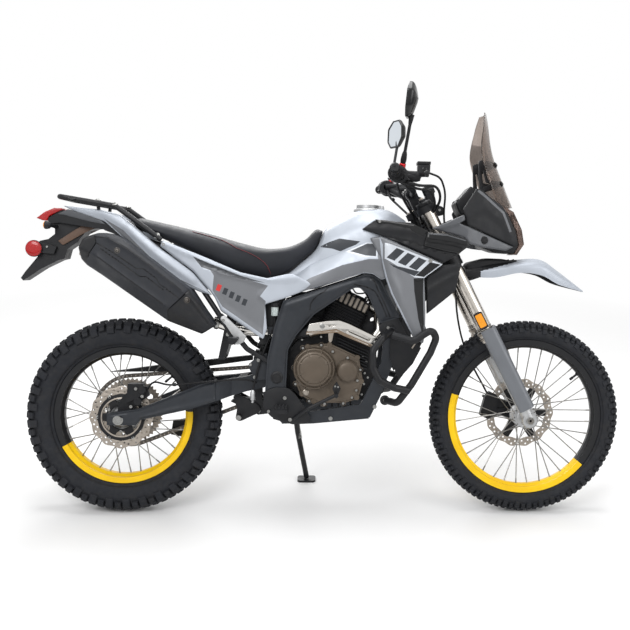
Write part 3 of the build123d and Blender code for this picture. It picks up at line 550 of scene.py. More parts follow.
def rim_finish(name, axle, first, last):
    """Black rim with a yellow arc from one angle to another, in degrees, round the axle."""
    made = Finish(name)
    spot = made.node("SeparateXYZ", {"Vector": made.where(axle)})
    angle = made.maths("ARCTAN2", spot.outputs["Z"], spot.outputs["X"])
    past = made.maths("GREATER_THAN", angle, radians(first))
    before = made.maths("LESS_THAN", angle, radians(last))
    arc = made.maths("MAXIMUM" if first > last else "MULTIPLY", past, before)
    patches = made.spread(made.noise(14, 4), 0, 1)
    dark = made.mix(patches, shade(colour(17, 18, 21), 0.85), shade(colour(17, 18, 21), 1.2))
    yellow = made.mix(patches, shade(colour(250, 200, 6), 0.94), shade(colour(252, 206, 12), 1.04))
    made.join(made.mix(arc, dark, yellow), "Base Color")
    made.join(made.spread(made.noise(40), 0.3, 0.45), "Roughness")
    made.bump(made.noise(900), 0.15, 0.00005)
    return made.done(Specular_IOR_Level=0.35)


rear_rim_paint = rim_finish("rear_rim_paint", REAR_AXLE, -152, 3.5)
front_rim_paint = rim_finish("front_rim_paint", FRONT_AXLE, 163, -39)


def vinyl():
    """Grained black seat cover with a slightly lighter bloom."""
    made = Finish("seat_vinyl")
    bloom = made.spread(made.noise(10, 4), 0, 1)
    made.join(made.mix(bloom, shade(colour(27, 29, 34), 0.88), shade(colour(33, 35, 41), 1.1)), "Base Color")
    made.join(made.spread(made.noise(50), 0.5, 0.62), "Roughness")
    made.bump(made.node("TexVoronoi", {"Vector": made.objects(), "Scale": 520.0}, "Distance"), 0.35, 0.0004)
    return made.done(Sheen_Weight=0.08, Specular_IOR_Level=0.3)


seat_vinyl = vinyl()

for look, names in (
    (frame_paint, "main_frame swingarm"), (bronze, "engine_covers"), (chrome, "exhaust_pipe"),
    (satin_black, "subframe rear_suspension rear_rack radiator crash_bars foot_controls triple_clamps"
                  " handlebar side_stand"),
    (engine_black, "engine_block cylinder rear_caliper front_caliper"), (muffler_black, "muffler"),
    (black_plastic, "guards rear_fender black_trim fairing instrument hand_controls mirrors"),
    (silver, "fuel_tank side_panels shrouds front_fender"), (mid_grey, "nose_panels"),
    (fork_grey, "fork_guards"), (polished, "fork_tubes"), (cast, "fork_sliders front_hub rear_hub fuel_cap"),
    (zinc, "rear_axle front_axle"), (steel, "front_disc rear_disc rear_sprocket"), (chain_steel, "drive_chain"),
    (seat_vinyl, "seat"), (red_lens, "tail_lights"), (lens_clear, "headlight_lens"), (smoke, "windscreen"),
    (grip_rubber, "grips"), (hose_rubber, "brake_hoses"), (tyre_rubber, "front_tyre rear_tyre"),
    (front_rim_paint, "front_rim"), (rear_rim_paint, "rear_rim"),
):
    for node in names.split():
        surface = frame["nodes"][node].data
        surface.materials.clear()
        surface.materials.append(look)



# Wheels ----------------------------------------------------------------------------------

def knob(shape, axle, angle, y, tilt, width, length, top, depth, skew=0.0, material=0):
    """Rubber block on a tyre: its top at radius `top`, leaning outwards by tilt."""
    a = radians(angle)
    out, along, side = Vector((cos(a), 0, sin(a))), Vector((-sin(a), 0, cos(a))), ACROSS
    lean = radians(tilt)
    normal = out * cos(lean) + side * sin(lean)
    across = side * cos(lean) - out * sin(lean)
    s = radians(skew)
    u, v = along * cos(s) + across * sin(s), across * cos(s) - along * sin(s)
    middle = Vector(axle) + out * top + side * y
    verts = []
    for sink, grow in ((depth, 1.12), (1.8, 1.0), (0, 0.86)):
        for i, j in ((-1, -1), (1, -1), (1, 1), (-1, 1)):
            verts.append(middle - normal * sink + u * (i * length / 2 * grow) + v * (j * width / 2 * grow))
    faces = [[8, 9, 10, 11]]
    for ring in (0, 4):
        faces += [[ring + k, ring + (k + 1) % 4, ring + 4 + (k + 1) % 4, ring + 4 + k] for k in range(4)]
    shape.add(verts, faces, material)


def tyre(name, body, node, axle, half_profile, steps, rows):
    """Carcass with rubber blocks. rows: (every, first, y, tilt, width, length, top, depth, skew)."""
    shape = Shape(name, body, tyre_rubber)
    smooth = [tuple(p)[:2] for p in curve_points([(r, y, 0) for r, y in half_profile], 5)]
    profile = smooth + [(r, -y) for r, y in reversed(smooth[:-1])]
    spin(shape, profile + profile[:1], axle, steps=128)
    for every, first, y, tilt, width, length, top, depth, skew in rows:
        for k in range(0, steps, every):
            for side in SIDES:
                shift = 0.5 if side == LEFT and every > 1 else 0.0
                knob(shape, axle, 360 * (k + first + shift) / steps, side * y, side * tilt, width, length, top,
                    depth, side * skew)
    return shape.build(replaces=(node,), crease=30)


# columns: every, first, y, tilt, width, length, top radius, depth, skew
REAR_ROWS = [
    (1, 0.0, 11, 4, 17, 20, 340.6, 17, 8), (1, 0.5, 30, 20, 15, 20, 332.5, 16, -10),
    (2, 0.0, 46.5, 46, 22, 26, 326, 20, 6), (2, 1.0, 45.5, 44, 21, 20, 327.5, 20, -6),
    (2, 0.0, 57.5, 76, 26, 25, 307, 10, 0), (2, 1.0, 57.5, 72, 13, 20, 314, 17, 0),
]
FRONT_ROWS = [
    (1, 0.0, 9, 4, 13, 14, 345.6, 15, 6), (1, 0.5, 23, 24, 11, 14, 338.5, 14, -8),
    (2, 0.0, 34.5, 50, 15, 17.5, 332, 15, 6), (2, 1.0, 34, 48, 15, 13, 333, 15, -6),
    (2, 0.0, 40.5, 76, 18, 17, 316, 7, 0), (2, 1.0, 40.5, 72, 9, 13, 321, 9, 0),
]
tyre("rear_tyre_tread", "rear_wheel", "rear_tyre", REAR_AXLE,
     [(229.6, 29), (234, 30.4), (242, 31), (244, 36), (251, 40), (253, 46), (262, 52), (282, 55.5), (300, 52),
         (314, 41), (324, 24), (326, 0)],
     66, REAR_ROWS)
tyre("front_tyre_tread", "front_wheel", "front_tyre", FRONT_AXLE,
     [(267.6, 19), (272, 20.4), (280, 21), (282, 26), (288, 30), (290, 34), (300, 38), (312, 38), (322, 31),
         (330, 16), (332, 0)],
     92, FRONT_ROWS)


SPOKES_A_SIDE = 18
SPOKE_SWING = radians(40)
SPOKE_RADIUS = 1.9


def hub_and_spokes(name, body, node, axle, profile, flange_r, flange_y, rim_r, valve_angle):
    """Hub barrel with drilled flanges, 36 crossed spokes with elbows, their nipples and the valve."""
    shape = Shape(name, body, cast, spoke_steel, hose_rubber)
    spin(shape, profile, axle, 0, 72)
    for side in SIDES:
        for index in range(SPOKES_A_SIDE):
            start = radians(360 / SPOKES_A_SIDE * index + (10 if side == LEFT else 0) + 5)
            way = 1 if index % 2 else -1
            end = start + way * SPOKE_SWING
            at = Vector((axle[0] + flange_r * cos(start), flange_y[side] + way * 3.2,
                axle[2] + flange_r * sin(start)))
            rim_at = Vector((axle[0] + rim_r * cos(end), side * 5, axle[2] + rim_r * sin(end)))
            run = (rim_at - at).normalized()
            head = at - Vector((0, way * 6.5, 0))
            tube(shape, [head, head + Vector((0, way * 1.5, 0))], 3.0, 1, 8)
            tube(shape, [head, at - Vector((0, way * 1.2, 0)), at + run * 3, rim_at - run * 16], SPOKE_RADIUS,
                1, 7)
            tube(shape, [rim_at + run * s for s in (-20, -18, -3, 3)], [2.0, 2.6, 2.6, 4.4], 1, 8)
    out = Vector((cos(radians(valve_angle)), 0, sin(radians(valve_angle))))
    base = Vector(axle) + out * (rim_r + 2)
    tube(shape, [base - out * s for s in (0, 6, 6.5, 24, 24.5, 36)], [7, 7, 4, 4, 5, 4.6], 2, 10)
    return shape.build(replaces=(node,), crease=32)


hub_and_spokes(
    "rear_hub_spokes", "rear_wheel", "rear_hub", REAR_AXLE,
    [(10.5, -69), (30, -69), (34, -66), (34, -60), (40, -58), (40, -44), (58, -43), (60, -41), (60, -36),
        (57, -34),
     (38, -30), (31, -22), (29, 0), (31, 22), (38, 31), (58, 34), (60, 36), (60, 42), (57, 44), (52, 46),
     (52, 76), (49, 78), (10.5, 78)],
    55, {RIGHT: -38.5, LEFT: 39}, 213, 40)
hub_and_spokes(
    "front_hub_spokes", "front_wheel", "front_hub", FRONT_AXLE,
    [(9, -36), (26, -36), (29, -34), (30, -31), (42, -30.5), (42, -26), (38, -23), (26, -18), (22, -8),
        (21, 2), (23, 20),
     (28, 27), (40, 33.5), (42, 35), (42, 41), (40, 43), (36, 46), (36, 62), (33, 64), (9, 64)],
    38, {RIGHT: -28.2, LEFT: 37.4}, 250, 38)


def wave_disc(name, body, node, axle, radius, inner, y, waves, bore, arms, band=()):
    """Drilled wave-edged brake disc on a black riveted carrier."""
    shape = Shape(name, body, steel, engine_black, zinc)
    centre = (axle[0], axle[2])

    def ring(base, swing, count, steps=240):
        return [polar(centre, base + swing * cos(count * tau * k / steps), tau * k / steps)
            for k in range(steps)]

    outlines = [ring(radius - 3, 2.6, waves), ring(inner + 2, 1.8, arms * 2)[::-1]]
    for k in range(waves):
        for share, reach, size in ((0.0, radius - 9, 3.7), (0.5, radius - 13, 3.7), (0.24, radius - 20, 3.4),
                (0.76, radius - 21, 3.4)):
            outlines.append(round_outline(polar(centre, reach, tau * (k + share) / waves), size, 12)[::-1])
    plate(shape, outlines, y - 2, y + 2, 0.3, 0, 1)
    spider = []
    for k in range(arms * 8):
        waist = bore + (inner - bore) * (0.36 if k % 8 in (2, 6) else 0.22)
        reach = {0: inner + 6, 1: inner + 4, 7: inner + 4}.get(k % 8, waist)
        spider.append(polar(centre, reach, tau * k / (arms * 8)))
    outer_side = LEFT if y > 0 else RIGHT
    plate(shape, [soften(spider, 6, 3), round_outline(centre, bore, 48)[::-1]], y - 3.2, y + 3.2, 0.8, 1, 1)
    if band:
        low, high = band
        for outer, hole, half, look in ((high, low, 4, (1, 1)), (low + 3, low - 2, 5, (0.6, 0, 1))):
            rings = [round_outline(centre, outer, 72), round_outline(centre, hole, 72)[::-1]]
            plate(shape, rings, y - half, y + half, *look)
    for k in range(arms):
        x, z = polar(centre, inner + 0.5, tau * k / arms)
        rivet = [(6, -6), (6, 1.4), (4.6, 2), (2.4, 2), (2.2, 1), (0.01, 1)]
        spin(shape, rivet, (x, y + outer_side * 2, z), 2, 14, outer_side)
        x, z = polar(centre, bore + 9, tau * k / arms + 0.5)
        bolts(shape, ((x, z, 5.2),), y + outer_side * 2, 2.2, outer_side, 2)
    return shape.build(replaces=(node,), crease=30)


wave_disc("rear_brake_disc", "rear_wheel", "rear_disc", REAR_AXLE, 110, 80, -72, 12, 40.4, 6, (67, 81))
wave_disc("front_brake_disc", "front_wheel", "front_disc", FRONT_AXLE, 129, 96, 67, 14, 36.4, 6)


DRIVE_SPROCKET = (600, 480)
CHAIN_Y = 82
CHAIN_PITCH = 15.875


def chain_piece():
    """Roller chain round both sprockets, with the small front sprocket."""
    shape = Shape("roller_chain", "chassis", chain_steel, steel)
    drive, rear, drive_r, rear_r = Vector((DRIVE_SPROCKET[0], 0, DRIVE_SPROCKET[1])), Vector(REAR_AXLE), 37, 126
    y = CHAIN_Y
    run = rear - drive
    tilt = atan2(-run.z, -run.x)
    wrap = asin((rear_r - drive_r) / run.length)
    path = []
    # columns: centre, radius, first and last angle of the wrap, steps
    for centre, radius, first, last, count in ((drive, drive_r, tilt - pi / 2 + wrap, tilt + pi / 2 - wrap, 60),
                                               (rear, rear_r, tilt + pi / 2 - wrap, tilt + pi * 1.5 + wrap,
                                                   160)):
        path.extend(centre + Vector((cos(a), 0, sin(a))) * radius
                    for a in (first + (last - first) * k / count for k in range(count + 1)))
    lengths = [0.0]
    for a, b in zip(path, path[1:] + path[:1]):
        lengths.append(lengths[-1] + (b - a).length)
    links = 2 * round(lengths[-1] / CHAIN_PITCH / 2)
    rounds = path + path[:1]
    at = [lengths[-1] * k / links for k in range(links)]
    xs, zs = (np.interp(at, lengths, [p[axis] for p in rounds]).tolist() for axis in (0, 2))
    pins = list(zip(xs, zs))
    for k in range(links):
        (ax, az) = pins[k]
        oval = slot_outline(pins[k], pins[(k + 1) % links], 6.6, 5)
        offset = 6.4 if k % 2 else 4.6
        for side in SIDES:
            verts = [(px, y + side * out, pz) for out in (offset, offset + 1.6) for px, pz in oval]
            shape.add(verts, closed_tube(2, len(oval)), 0)
        tube(shape, [(ax, y - 4.4, az), (ax, y + 4.4, az)], 5, 1, 10, capped=False)
        tube(shape, [(ax, y - 8.6, az), (ax, y + 8.6, az)], 2.4, 1, 8)
    teeth = [polar(DRIVE_SPROCKET, 41 if k % 4 < 2 else 34, tau * (k + 0.5) / 56) for k in range(56)]
    plate(shape, [teeth, round_outline(DRIVE_SPROCKET, 10)[::-1]], y - 3, y + 3, 0.6, 1, 1)
    return shape.build(replaces=("drive_chain",), crease=35)


chain_piece()


# Bodywork --------------------------------------------------------------------------------

def recess(outline, depth, width):
    """Relief that sinks the inside of an outline, its walls sloping over width."""
    ring = [tuple(p) for p in outline]

    def sink(x, z):
        if not inside((x, z), ring):
            return 0.0
        away = float(to_outline([(x, z)], ring)[0])
        return -depth * min(1.0, away / width)
    return sink


def crease(line, height, width):
    """Relief that rises to a ridge along a line of points."""
    points = [Vector(p) for p in line]

    def rise(x, z):
        here = Vector((x, z))
        nearest = 1e9
        for a, b in zip(points, points[1:]):
            span = b - a
            share = max(0.0, min(1.0, (here - a).dot(span) / span.length_squared))
            nearest = min(nearest, (a + span * share - here).length)
        return height * max(0.0, 1 - nearest / width)
    return rise


def together(*reliefs):
    return lambda x, z: sum(relief(x, z) for relief in reliefs)


def ribbon(line, width):
    """Outline of a stripe of the given width along a line of points."""
    points = [Vector(p) for p in line]
    left, right = [], []
    for here, way in zip(points, ways(points)):
        left.append(tuple(here + Vector((-way.y, way.x)) * width / 2))
        right.append(tuple(here - Vector((-way.y, way.x)) * width / 2))
    return left + right[::-1]


def crowned_rows(table, count):
    """Rows through a table of (x, half width, z low, z side, z top), followed smoothly."""
    xs = [row[0] for row in table]
    line = curve_points([(row[0], row[1], row[3]) for row in table])
    lows = curve_points([(row[0], row[2], row[4]) for row in table])
    at = [xs[0] + (xs[-1] - xs[0]) * k / (count - 1) for k in range(count)]
    follow = [np.interp(at, [p.x for p in curve], [p[axis] for p in curve]).tolist()
              for curve, axis in ((line, 1), (lows, 1), (line, 2), (lows, 2))]
    return list(zip(at, *follow))


# columns: x, half width, z low, z side, z top
TANK = [
    (562, 68, 800, 843, 851), (600, 80, 790, 850, 886), (664, 94, 797, 890, 940), (698, 104, 809, 930, 1008),
    (741, 116, 824, 950, 1040), (816, 134, 849, 970, 1080), (870, 140, 856, 970, 1087),
    (915, 128, 862, 942, 1084),
    (952, 84, 872, 915, 1069), (986, 50, 932, 950, 1046),
]


def tank():
    """Fuel tank: crowned shell with shoulders, filler ring and hinge knuckles."""
    shape = Shape("fuel_tank_shell", "chassis", silver, cast)
    verts = []
    rows = crowned_rows(TANK, 56)
    around = 22
    for x, half, low, mid, top in rows:
        section = [(half * 0.9, low + 2), (half, low + 10), (half, (low + mid) / 2)]
        for k in range(around):
            angle = pi * k / (around - 1)
            lift = abs(sin(angle)) ** 0.82
            section.append((half * cos(angle), mid + (top - mid) * lift))
        section += [(-half, (low + mid) / 2), (-half, low + 10), (-half * 0.9, low + 2)]
        verts.extend((x, y, z) for y, z in section)
    columns = around + 6
    ends = [list(range(columns)), list(range((len(rows) - 1) * columns, len(rows) * columns))[::-1]]
    shape.add(verts, grid_faces(len(rows), columns, close_columns=True) + ends)
    spin(shape, [(50, 1074), (50, 1082), (47, 1086), (42, 1087), (40.2, 1085), (40.2, 1089), (36, 1089),
        (0.1, 1089)], (850, 0, 0), 1, 56, (0, 0, 1))
    for k in range(6):
        angle = pi * (k + 0.5) / 3
        bolt(shape, (850 + 45 * cos(angle), 45 * sin(angle), 1086), 2.6, 2, (0, 0, 1), 1)
    for side in SIDES:
        plate(shape, [[(894, 1072), (912, 1072), (907, 1095), (904, 1098), (900, 1098), (897, 1095)]],
            side * 8.8, side * 15, 1, 1)
    return shape.build(replaces=("fuel_tank",), crease=48)


tank_shell = tank()

COVER = [
    (596, 846), (649, 884), (776, 939), (838, 963), (868, 965), (888, 985), (897, 958), (898, 901), (912, 842),
    (895, 835),
    (864, 855), (833, 858), (741, 829), (664, 803), (618, 788), (600, 812),
]
COVER_TOP = along_line([(596, 846), (649, 884), (776, 939), (838, 963), (912, 975)])
COVER_LOW = along_line([(596, 800), (664, 800), (741, 829), (833, 858), (912, 842)])
COVER_BULGE = along_line([(596, 132), (667, 134), (741, 136), (816, 144), (870, 148), (912, 152)])
COVER_ROOT = along_line([(596, 78), (649, 93), (698, 108), (741, 120), (816, 138), (870, 144), (912, 146)])


def cover_depth(x, z):
    share = max(0.0, min(1.0, (z - COVER_LOW(x)) / max(1.0, COVER_TOP(x) - COVER_LOW(x))))
    return COVER_BULGE(x) + (COVER_ROOT(x) - COVER_BULGE(x)) * share ** 1.7


# painted shade: a strip of darker silver along the tank covers' front edge
STRIP = [(874, 1000), (889, 1000), (899, 958), (900, 901), (914, 846), (897, 846), (882, 888), (879, 940)]
# a plain slanted blade with its pale edge
BLADE_A = [(784, 932), (801, 939), (843, 959), (874, 959), (874, 916), (838, 918)]
BLADE_A_EDGE = [(768, 930), (801, 944), (842, 962), (878, 962), (878, 911), (834, 913)]
BLADE_R = [(678, 945), (712, 962), (748, 975), (819, 966), (806, 955), (780, 944), (752, 931), (724, 940)]

# painted shade: the tank covers' lower zone, below their crease, in darker silver
COVER_SHADE = [(618, 790), (604, 808), (650, 838), (760, 884), (850, 906), (896, 906), (910, 844), (895, 837),
    (864, 857), (833, 860), (741, 831), (664, 805)]

def tank_covers():
    """Moulded side covers of the tank, with slanting graphics and the fold ahead of them, painted as a darker
    strip of shade; painted shade also darkens their lower zone.
    """
    shape = Shape("tank_side_covers", "chassis", silver, silver_dark, graphic_dark, graphic_light, zinc)
    for side in SIDES:
        panel(shape, COVER, cover_depth, side, 4, 10, 5, 7, ((COVER_SHADE, 1), (BLADE_A_EDGE, 3), (BLADE_A, 2),
            (STRIP, 1)), 6,
              crease([(650, 838), (760, 884), (850, 906), (898, 906)], 7, 40))
        bolt(shape, (616, side * (cover_depth(616, 823) - 1), 823), 6.5, 4, side, 4)
    return shape.build(crease=32)


tank_covers()


def tank_graphics():
    """Blade shaped graphics on the tank's flanks."""
    shape = Shape("tank_graphics", "chassis", graphic_dark)
    tree = BVHTree.FromObject(tank_shell, bpy.context.evaluated_depsgraph_get())
    back = PARK.inverted()
    for side in SIDES:
        way = (place(700, 0, 950) - place(700, side * 400, 950)).normalized()
        fine = resample(BLADE_R, 8)
        points = fine + [(x, z) for x in range(684, 816, 8) for z in range(932, 974, 8) if inside((x, z),
            BLADE_R)]
        flat, tris, _ = fill(points, loop(len(fine)), fine)
        out = []
        for x, z in flat:
            hit = tree.ray_cast(place(x, side * 400, z), way)[0]
            y = (back @ hit).y if hit else side * COVER_ROOT(x)
            out.append((x, y + side * 0.5, z))
        shape.add(out + [(x, y - side * 1.2, z) for x, y, z in out],
                  tris + [[i + len(out) for i in t[::-1]] for t in tris]
                  + [[a, b, len(out) + b, len(out) + a] for a, b in loop(len(fine))])
    return shape.build(crease=40)


tank_graphics()

SIDE_PANEL = [
    (145, 958), (285, 905), (412, 853), (503, 834), (571, 850), (592, 850), (661, 816), (618, 788), (560, 765),
    (497, 745),
    (505, 659), (492, 624), (347, 719), (322, 772), (252, 853), (137, 938),
]
# SIDE_GREY and SIDE_FIN are sunk into the side panel and coloured darker: painted shade in these hollows
SIDE_GREY = [(308, 862), (420, 834), (507, 809), (480, 772), (499, 756), (491, 640), (352, 735), (318, 790),
    (322, 840)]
SIDE_FIN = [(250, 905), (300, 884), (412, 842), (498, 818), (420, 829), (330, 852), (280, 868)]
TAIL_PANEL = [
    (-210, 1073), (-75, 1060), (-6, 1044), (49, 1004), (131, 935), (250, 850), (317, 772),
    (275, 783), (193, 819), (104, 887), (36, 940), (-28, 994), (-59, 1020), (-180, 1059),
]


def side_panels():
    """Side panels under the seat and the tail panels over the muffler."""
    shape = Shape("side_panel_shells", "chassis", silver, silver_dark, mid_grey, zinc, graphic_red,
        graphic_dark)
    side_depth = along_line([(130, 124), (330, 136), (500, 140), (560, 140), (670, 134)])
    tail_depth = along_line([(-215, 52), (-75, 84), (50, 112), (180, 128), (330, 134)])
    slashes = [([(336 + 22 * k, 812 - 12 * k), (350 + 22 * k, 807 - 12 * k), (342 + 22 * k, 786 - 12 * k),
        (328 + 22 * k, 791 - 12 * k)],
                4 if k == 0 else 5) for k in range(5)]
    for side in SIDES:
        relief = together(recess(SIDE_GREY, 4, 12), recess(SIDE_FIN, 3.5, 6),
            crease([(160, 944), (285, 892), (412, 846), (520, 828), (600, 836)], 3, 12))
        panel(shape, SIDE_PANEL, side_depth, side, 5, 9, 5, 8, ((SIDE_GREY, 1), (SIDE_FIN, 2), *slashes), 6,
            relief)
        # the band along the tail panel's lower edge is in the darker silver: painted shade
        panel(shape, TAIL_PANEL, tail_depth, side, 7, 9, 6, 9, ((
            [(-60, 1030), (10, 990), (104, 900), (193, 832), (300, 782), (193, 826), (104, 893), (36, 946),
                (-28, 1000)], 1),), 8,
            crease([(-180, 1064), (-60, 1046), (20, 1000), (131, 905), (250, 822)], 4, 16))
        bolt(shape, (150, side * (side_depth(150) - 2), 944), 6, 4, side, 3)
        bolt(shape, (-10, side * (tail_depth(-10) - 2), 1020), 6, 4, side, 3)
    return shape.build(replaces=("side_panels",), crease=32)


side_panels()

SHROUD = [
    (852, 977), (887, 985), (1100, 893), (1036, 845), (1042, 733), (1042, 650), (1036, 622), (1003, 640),
    (925, 790), (905, 846), (893, 905),
]
SHROUD_STRIPE = [(1000, 842), (1033, 845), (1032, 794), (1037, 692), (1035, 643), (1018, 707), (1003, 800)]
GRAPHIC_FIELD = [(902, 962), (925, 957), (1096, 891), (1035, 844), (1003, 846), (921, 899), (903, 908)]
GRAPHIC_BLOCKS = [
    [(909, 912), (935, 901), (968, 934), (942, 945)],
    [(946, 896), (972, 885), (1005, 918), (979, 929)],
    [(983, 881), (1009, 870), (1042, 903), (1016, 914)],
    [(1020, 865), (1054, 898), (1090, 891), (1034, 848), (1006, 852)],
]
SWOOSH = [(917, 893), (940, 884), (969, 878), (1020, 866), (1012, 859), (1003, 850), (966, 866), (933, 880)]


def shrouds():
    """Radiator shrouds with slanted block graphics and a dark front edge."""
    shape = Shape("shroud_shells", "chassis", silver_dark, silver, gloss_black, graphic_dark, graphic_light,
        zinc)
    depth = along_line([(836, 146), (885, 156), (960, 190), (1040, 205), (1102, 208)])
    decals = [(GRAPHIC_FIELD, 4)] + [(block, 3) for block in GRAPHIC_BLOCKS[:3]] + [(GRAPHIC_BLOCKS[3], 2),
        (SWOOSH, 3), (SHROUD_STRIPE, 2)]
    fold = [(896, 955), (897, 905), (912, 846), (932, 790), (1003, 650), (980, 680), (925, 792), (905, 850),
        (893, 905), (884, 984)]
    for side in SIDES:
        panel(shape, SHROUD, depth, side, 6, 8, 5, 8, (*decals, (fold, 1)), 5,
              together(crease([(905, 950), (925, 850), (1015, 660)], 4, 20), recess(SHROUD_STRIPE, 3, 6)))
        bolt(shape, (1055, side * (depth(1055) - 2), 903), 7, 5, side, 5)
    return shape.build(replaces=("shrouds",), crease=30)


shrouds()

BAND = [
    (824, 1007), (867, 1039), (990, 1031), (1045, 1003), (1169, 980), (1190, 963), (1156, 928), (1103, 896),
    (887, 988),
]
WINGLET = [(1043, 1000), (1114, 996), (1180, 979), (1191, 958), (1153, 928), (1094, 938), (1032, 952)]
TRIM = [(868, 1042), (894, 1040), (985, 1028), (1004, 1024), (1048, 1004), (1030, 981), (992, 1000),
    (985, 1010), (913, 1028), (876, 1028)]
LOWER = [(1101, 889), (1165, 898), (1146, 802), (1048, 721), (1044, 846)]


def black_trim():
    """Black bands over the shrouds: top strip, gloss winglet and the creased panel behind the fork."""
    shape = Shape("trim_shells", "chassis", black_plastic, satin_black, zinc)
    polish = Shape("gloss_winglets", "chassis", gloss_black, mid_grey)
    depth = along_line([(820, 144), (885, 158), (1000, 188), (1190, 188)])
    groove = [(893, 990), (960, 976), (1010, 966), (1034, 952), (1154, 921), (1146, 916), (1030, 944),
        (895, 982)]
    for side in SIDES:
        panel(shape, BAND, depth, side, 8, 8, 5, 8, ((groove, 1),), 5,
              together(recess(groove, 3, 4), crease([(835, 1012), (990, 1004), (1045, 985), (1165, 950)], 4,
                  18)))
        panel(polish, WINGLET, lambda x, z: depth(x) + 8, side, 12, 8, 6, 7,
            ((ribbon([(1046, 994), (1114, 990), (1176, 973)], 3.2), 1),), 6,
              crease([(1050, 982), (1130, 972), (1180, 960)], 5, 16))
        panel(polish, TRIM, lambda x, z: depth(x) + 4, side, 9, 5, 4, 6, (), 3)
        panel(shape, LOWER, lambda x, z: 186, side, 7, 8, 5, 8, (), 5,
              together(crease([(1045, 800), (1146, 858)], 5, 12), crease([(1052, 850), (1150, 886)], 3, 10)))
        bolt(shape, (884, side * (depth(884) + 3), 1034), 5, 3, side, 2)
    polish.build(crease=34)
    return shape.build(replaces=("black_trim",), crease=30)


black_trim()

NOSE = [(1062, 1014), (1176, 1064), (1180, 1046), (1160, 1034), (1184, 1026), (1362, 957), (1334, 943),
    (1249, 952), (1198, 964), (1176, 986), (1078, 1009)]
FAIRING = [
    (1182, 1056), (1172, 1082), (1222, 1158), (1246, 1150), (1270, 1130), (1320, 1098), (1340, 1072),
    (1372, 1000), (1380, 970), (1362, 960), (1190, 1028),
]


def nose_panels():
    """Grey nose side panels with their bung."""
    shape = Shape("nose_side_panels", "chassis", mid_grey, satin_black)
    depth = along_line([(1050, 172), (1190, 150), (1370, 92)])
    for side in SIDES:
        panel(shape, NOSE, depth, side, 6, 6, 4, 7, (), 4, crease([(1080, 1016), (1170, 1040)], 3, 12))
        spin(shape, [(15, -3), (15, 2), (12, 4), (10, 4), (9, 7), (8, 8), (0.1, 8)],
            (1249, side * (depth(1249) - 1), 978), 1, 10, side)
    shape.build(replaces=("nose_panels",), crease=30)


nose_panels()


def fairing():
    """Black flanks of the lamp housing with a grey stripe, and its core."""
    shape = Shape("fairing_shell", "chassis", black_plastic, mid_grey)
    depth = along_line([(1165, 142), (1250, 122), (1390, 78)])
    for side in SIDES:
        panel(shape, FAIRING, depth, side, 6, 7, 5, 7, ((ribbon([(1226, 1150), (1254, 1130), (1322, 1076),
            (1350, 1010)], 9), 1),), 5,
              crease([(1190, 1060), (1250, 1100), (1330, 1040), (1362, 975)], 4, 26))
    core = [(1222, 1150), (1280, 1121), (1344, 1077), (1376, 1015), (1386, 965), (1370, 934), (1302, 938),
        (1250, 956), (1240, 1040)]
    plate(shape, [soften(core, 10)], -69, 69, 8, 0, 3)
    shape.build(replaces=("fairing",), crease=32)


fairing()

# columns: x, half width, z low, z side, z top
SEAT = [
    (34, 58, 1000, 1016, 1040), (66, 84, 990, 1010, 1034), (166, 106, 954, 984, 1013),
    (293, 118, 896, 950, 985),
    (386, 118, 854, 930, 960), (471, 108, 835, 916, 940), (521, 96, 830, 918, 938), (578, 80, 858, 926, 948),
    (630, 70, 906, 950, 974), (662, 64, 934, 980, 1006), (690, 58, 986, 1000, 1015),
]


def seat():
    """Padded seat: pulled cover with a crowned top, waisted flanks, a sewn rim and red thread."""
    shape = Shape("seat_cushion", "chassis", seat_vinyl, red_thread, black_plastic)
    rows = crowned_rows(SEAT, 110)
    verts = []
    around, flank = 20, 8
    rng = random.Random(11)
    waves = [(rng.uniform(0.02, 0.07), rng.uniform(0.03, 0.1), rng.uniform(0, 6.3)) for _ in range(7)]
    for k, (x, half, low, mid, top) in enumerate(rows):
        ends = min(1.0, 0.35 + min(k, len(rows) - 1 - k) / 4)
        section = []
        for i in range(flank):
            t = i / flank
            out = half * (0.84 + 0.16 * sin(t * pi * 0.5)) + 2.4 * sin(t * pi)
            section.append((out, low + (mid - low) * t))
        for i in range(around + 1):
            angle = pi * i / around
            section.append((half * cos(angle), mid + (top - mid) * abs(sin(angle)) ** 0.78))
        section += [(-y, z) for y, z in section[:flank][::-1]]
        for y, z in section:
            ripple = sum(sin(a * x + b * (y + z) + c) for a, b, c in waves) / 7
            near_rim = exp(-((z - mid) / 14) ** 2) if abs(y) > half * 0.8 else 0.25
            middle = (top + low) / 2
            verts.append((x, y * (1 + 0.012 * ripple * near_rim) * (0.9 + 0.1 * ends),
                middle + (z - middle) * ends + 0.9 * ripple * near_rim))
    shape.add(verts, closed_tube(len(rows), 2 * flank + around + 1))
    tree = BVHTree.FromPolygons(shape.points, shape.faces)
    seam = curve_points([(240, 0, 990), (342, 0, 962), (399, 0, 934), (436, 0, 920), (473, 0, 900),
        (499, 0, 876), (513, 0, 846)], 12)
    for side in SIDES:
        path = []
        for p in seam:
            hit = tree.ray_cast(Vector((p.x, side * 400, p.z)), Vector((0, -side, 0)))[0]
            if hit is None:
                hit = tree.find_nearest(Vector((p.x, side * 118, p.z)))[0]
            path.append(hit)
        ridge = [p + Vector((0, side * 0.6, 0.4)) for p in path]
        tube(shape, ridge, 1.9, 0, 8)
        for a, b in zip(ridge, ridge[1:]):
            step = b - a
            for share in (0.1, 0.6):
                start = a + step * share + Vector((0, side * 1.7, 0.9))
                tube(shape, [start, start + step * 0.32], 0.95, 1, 6)
    rim = [(row[0], row[1] * 0.86, row[2] + 2) for row in rows[3:-3]]
    for side in SIDES:
        tube(shape, [(x, side * y, z) for x, y, z in rim[::3]], 2.6, 2, 8)
    piece = shape.build(replaces=("seat",), crease=55, subdivide=1)
    return piece


seat()


# Engine, frame and exhaust ---------------------------------------------------------------

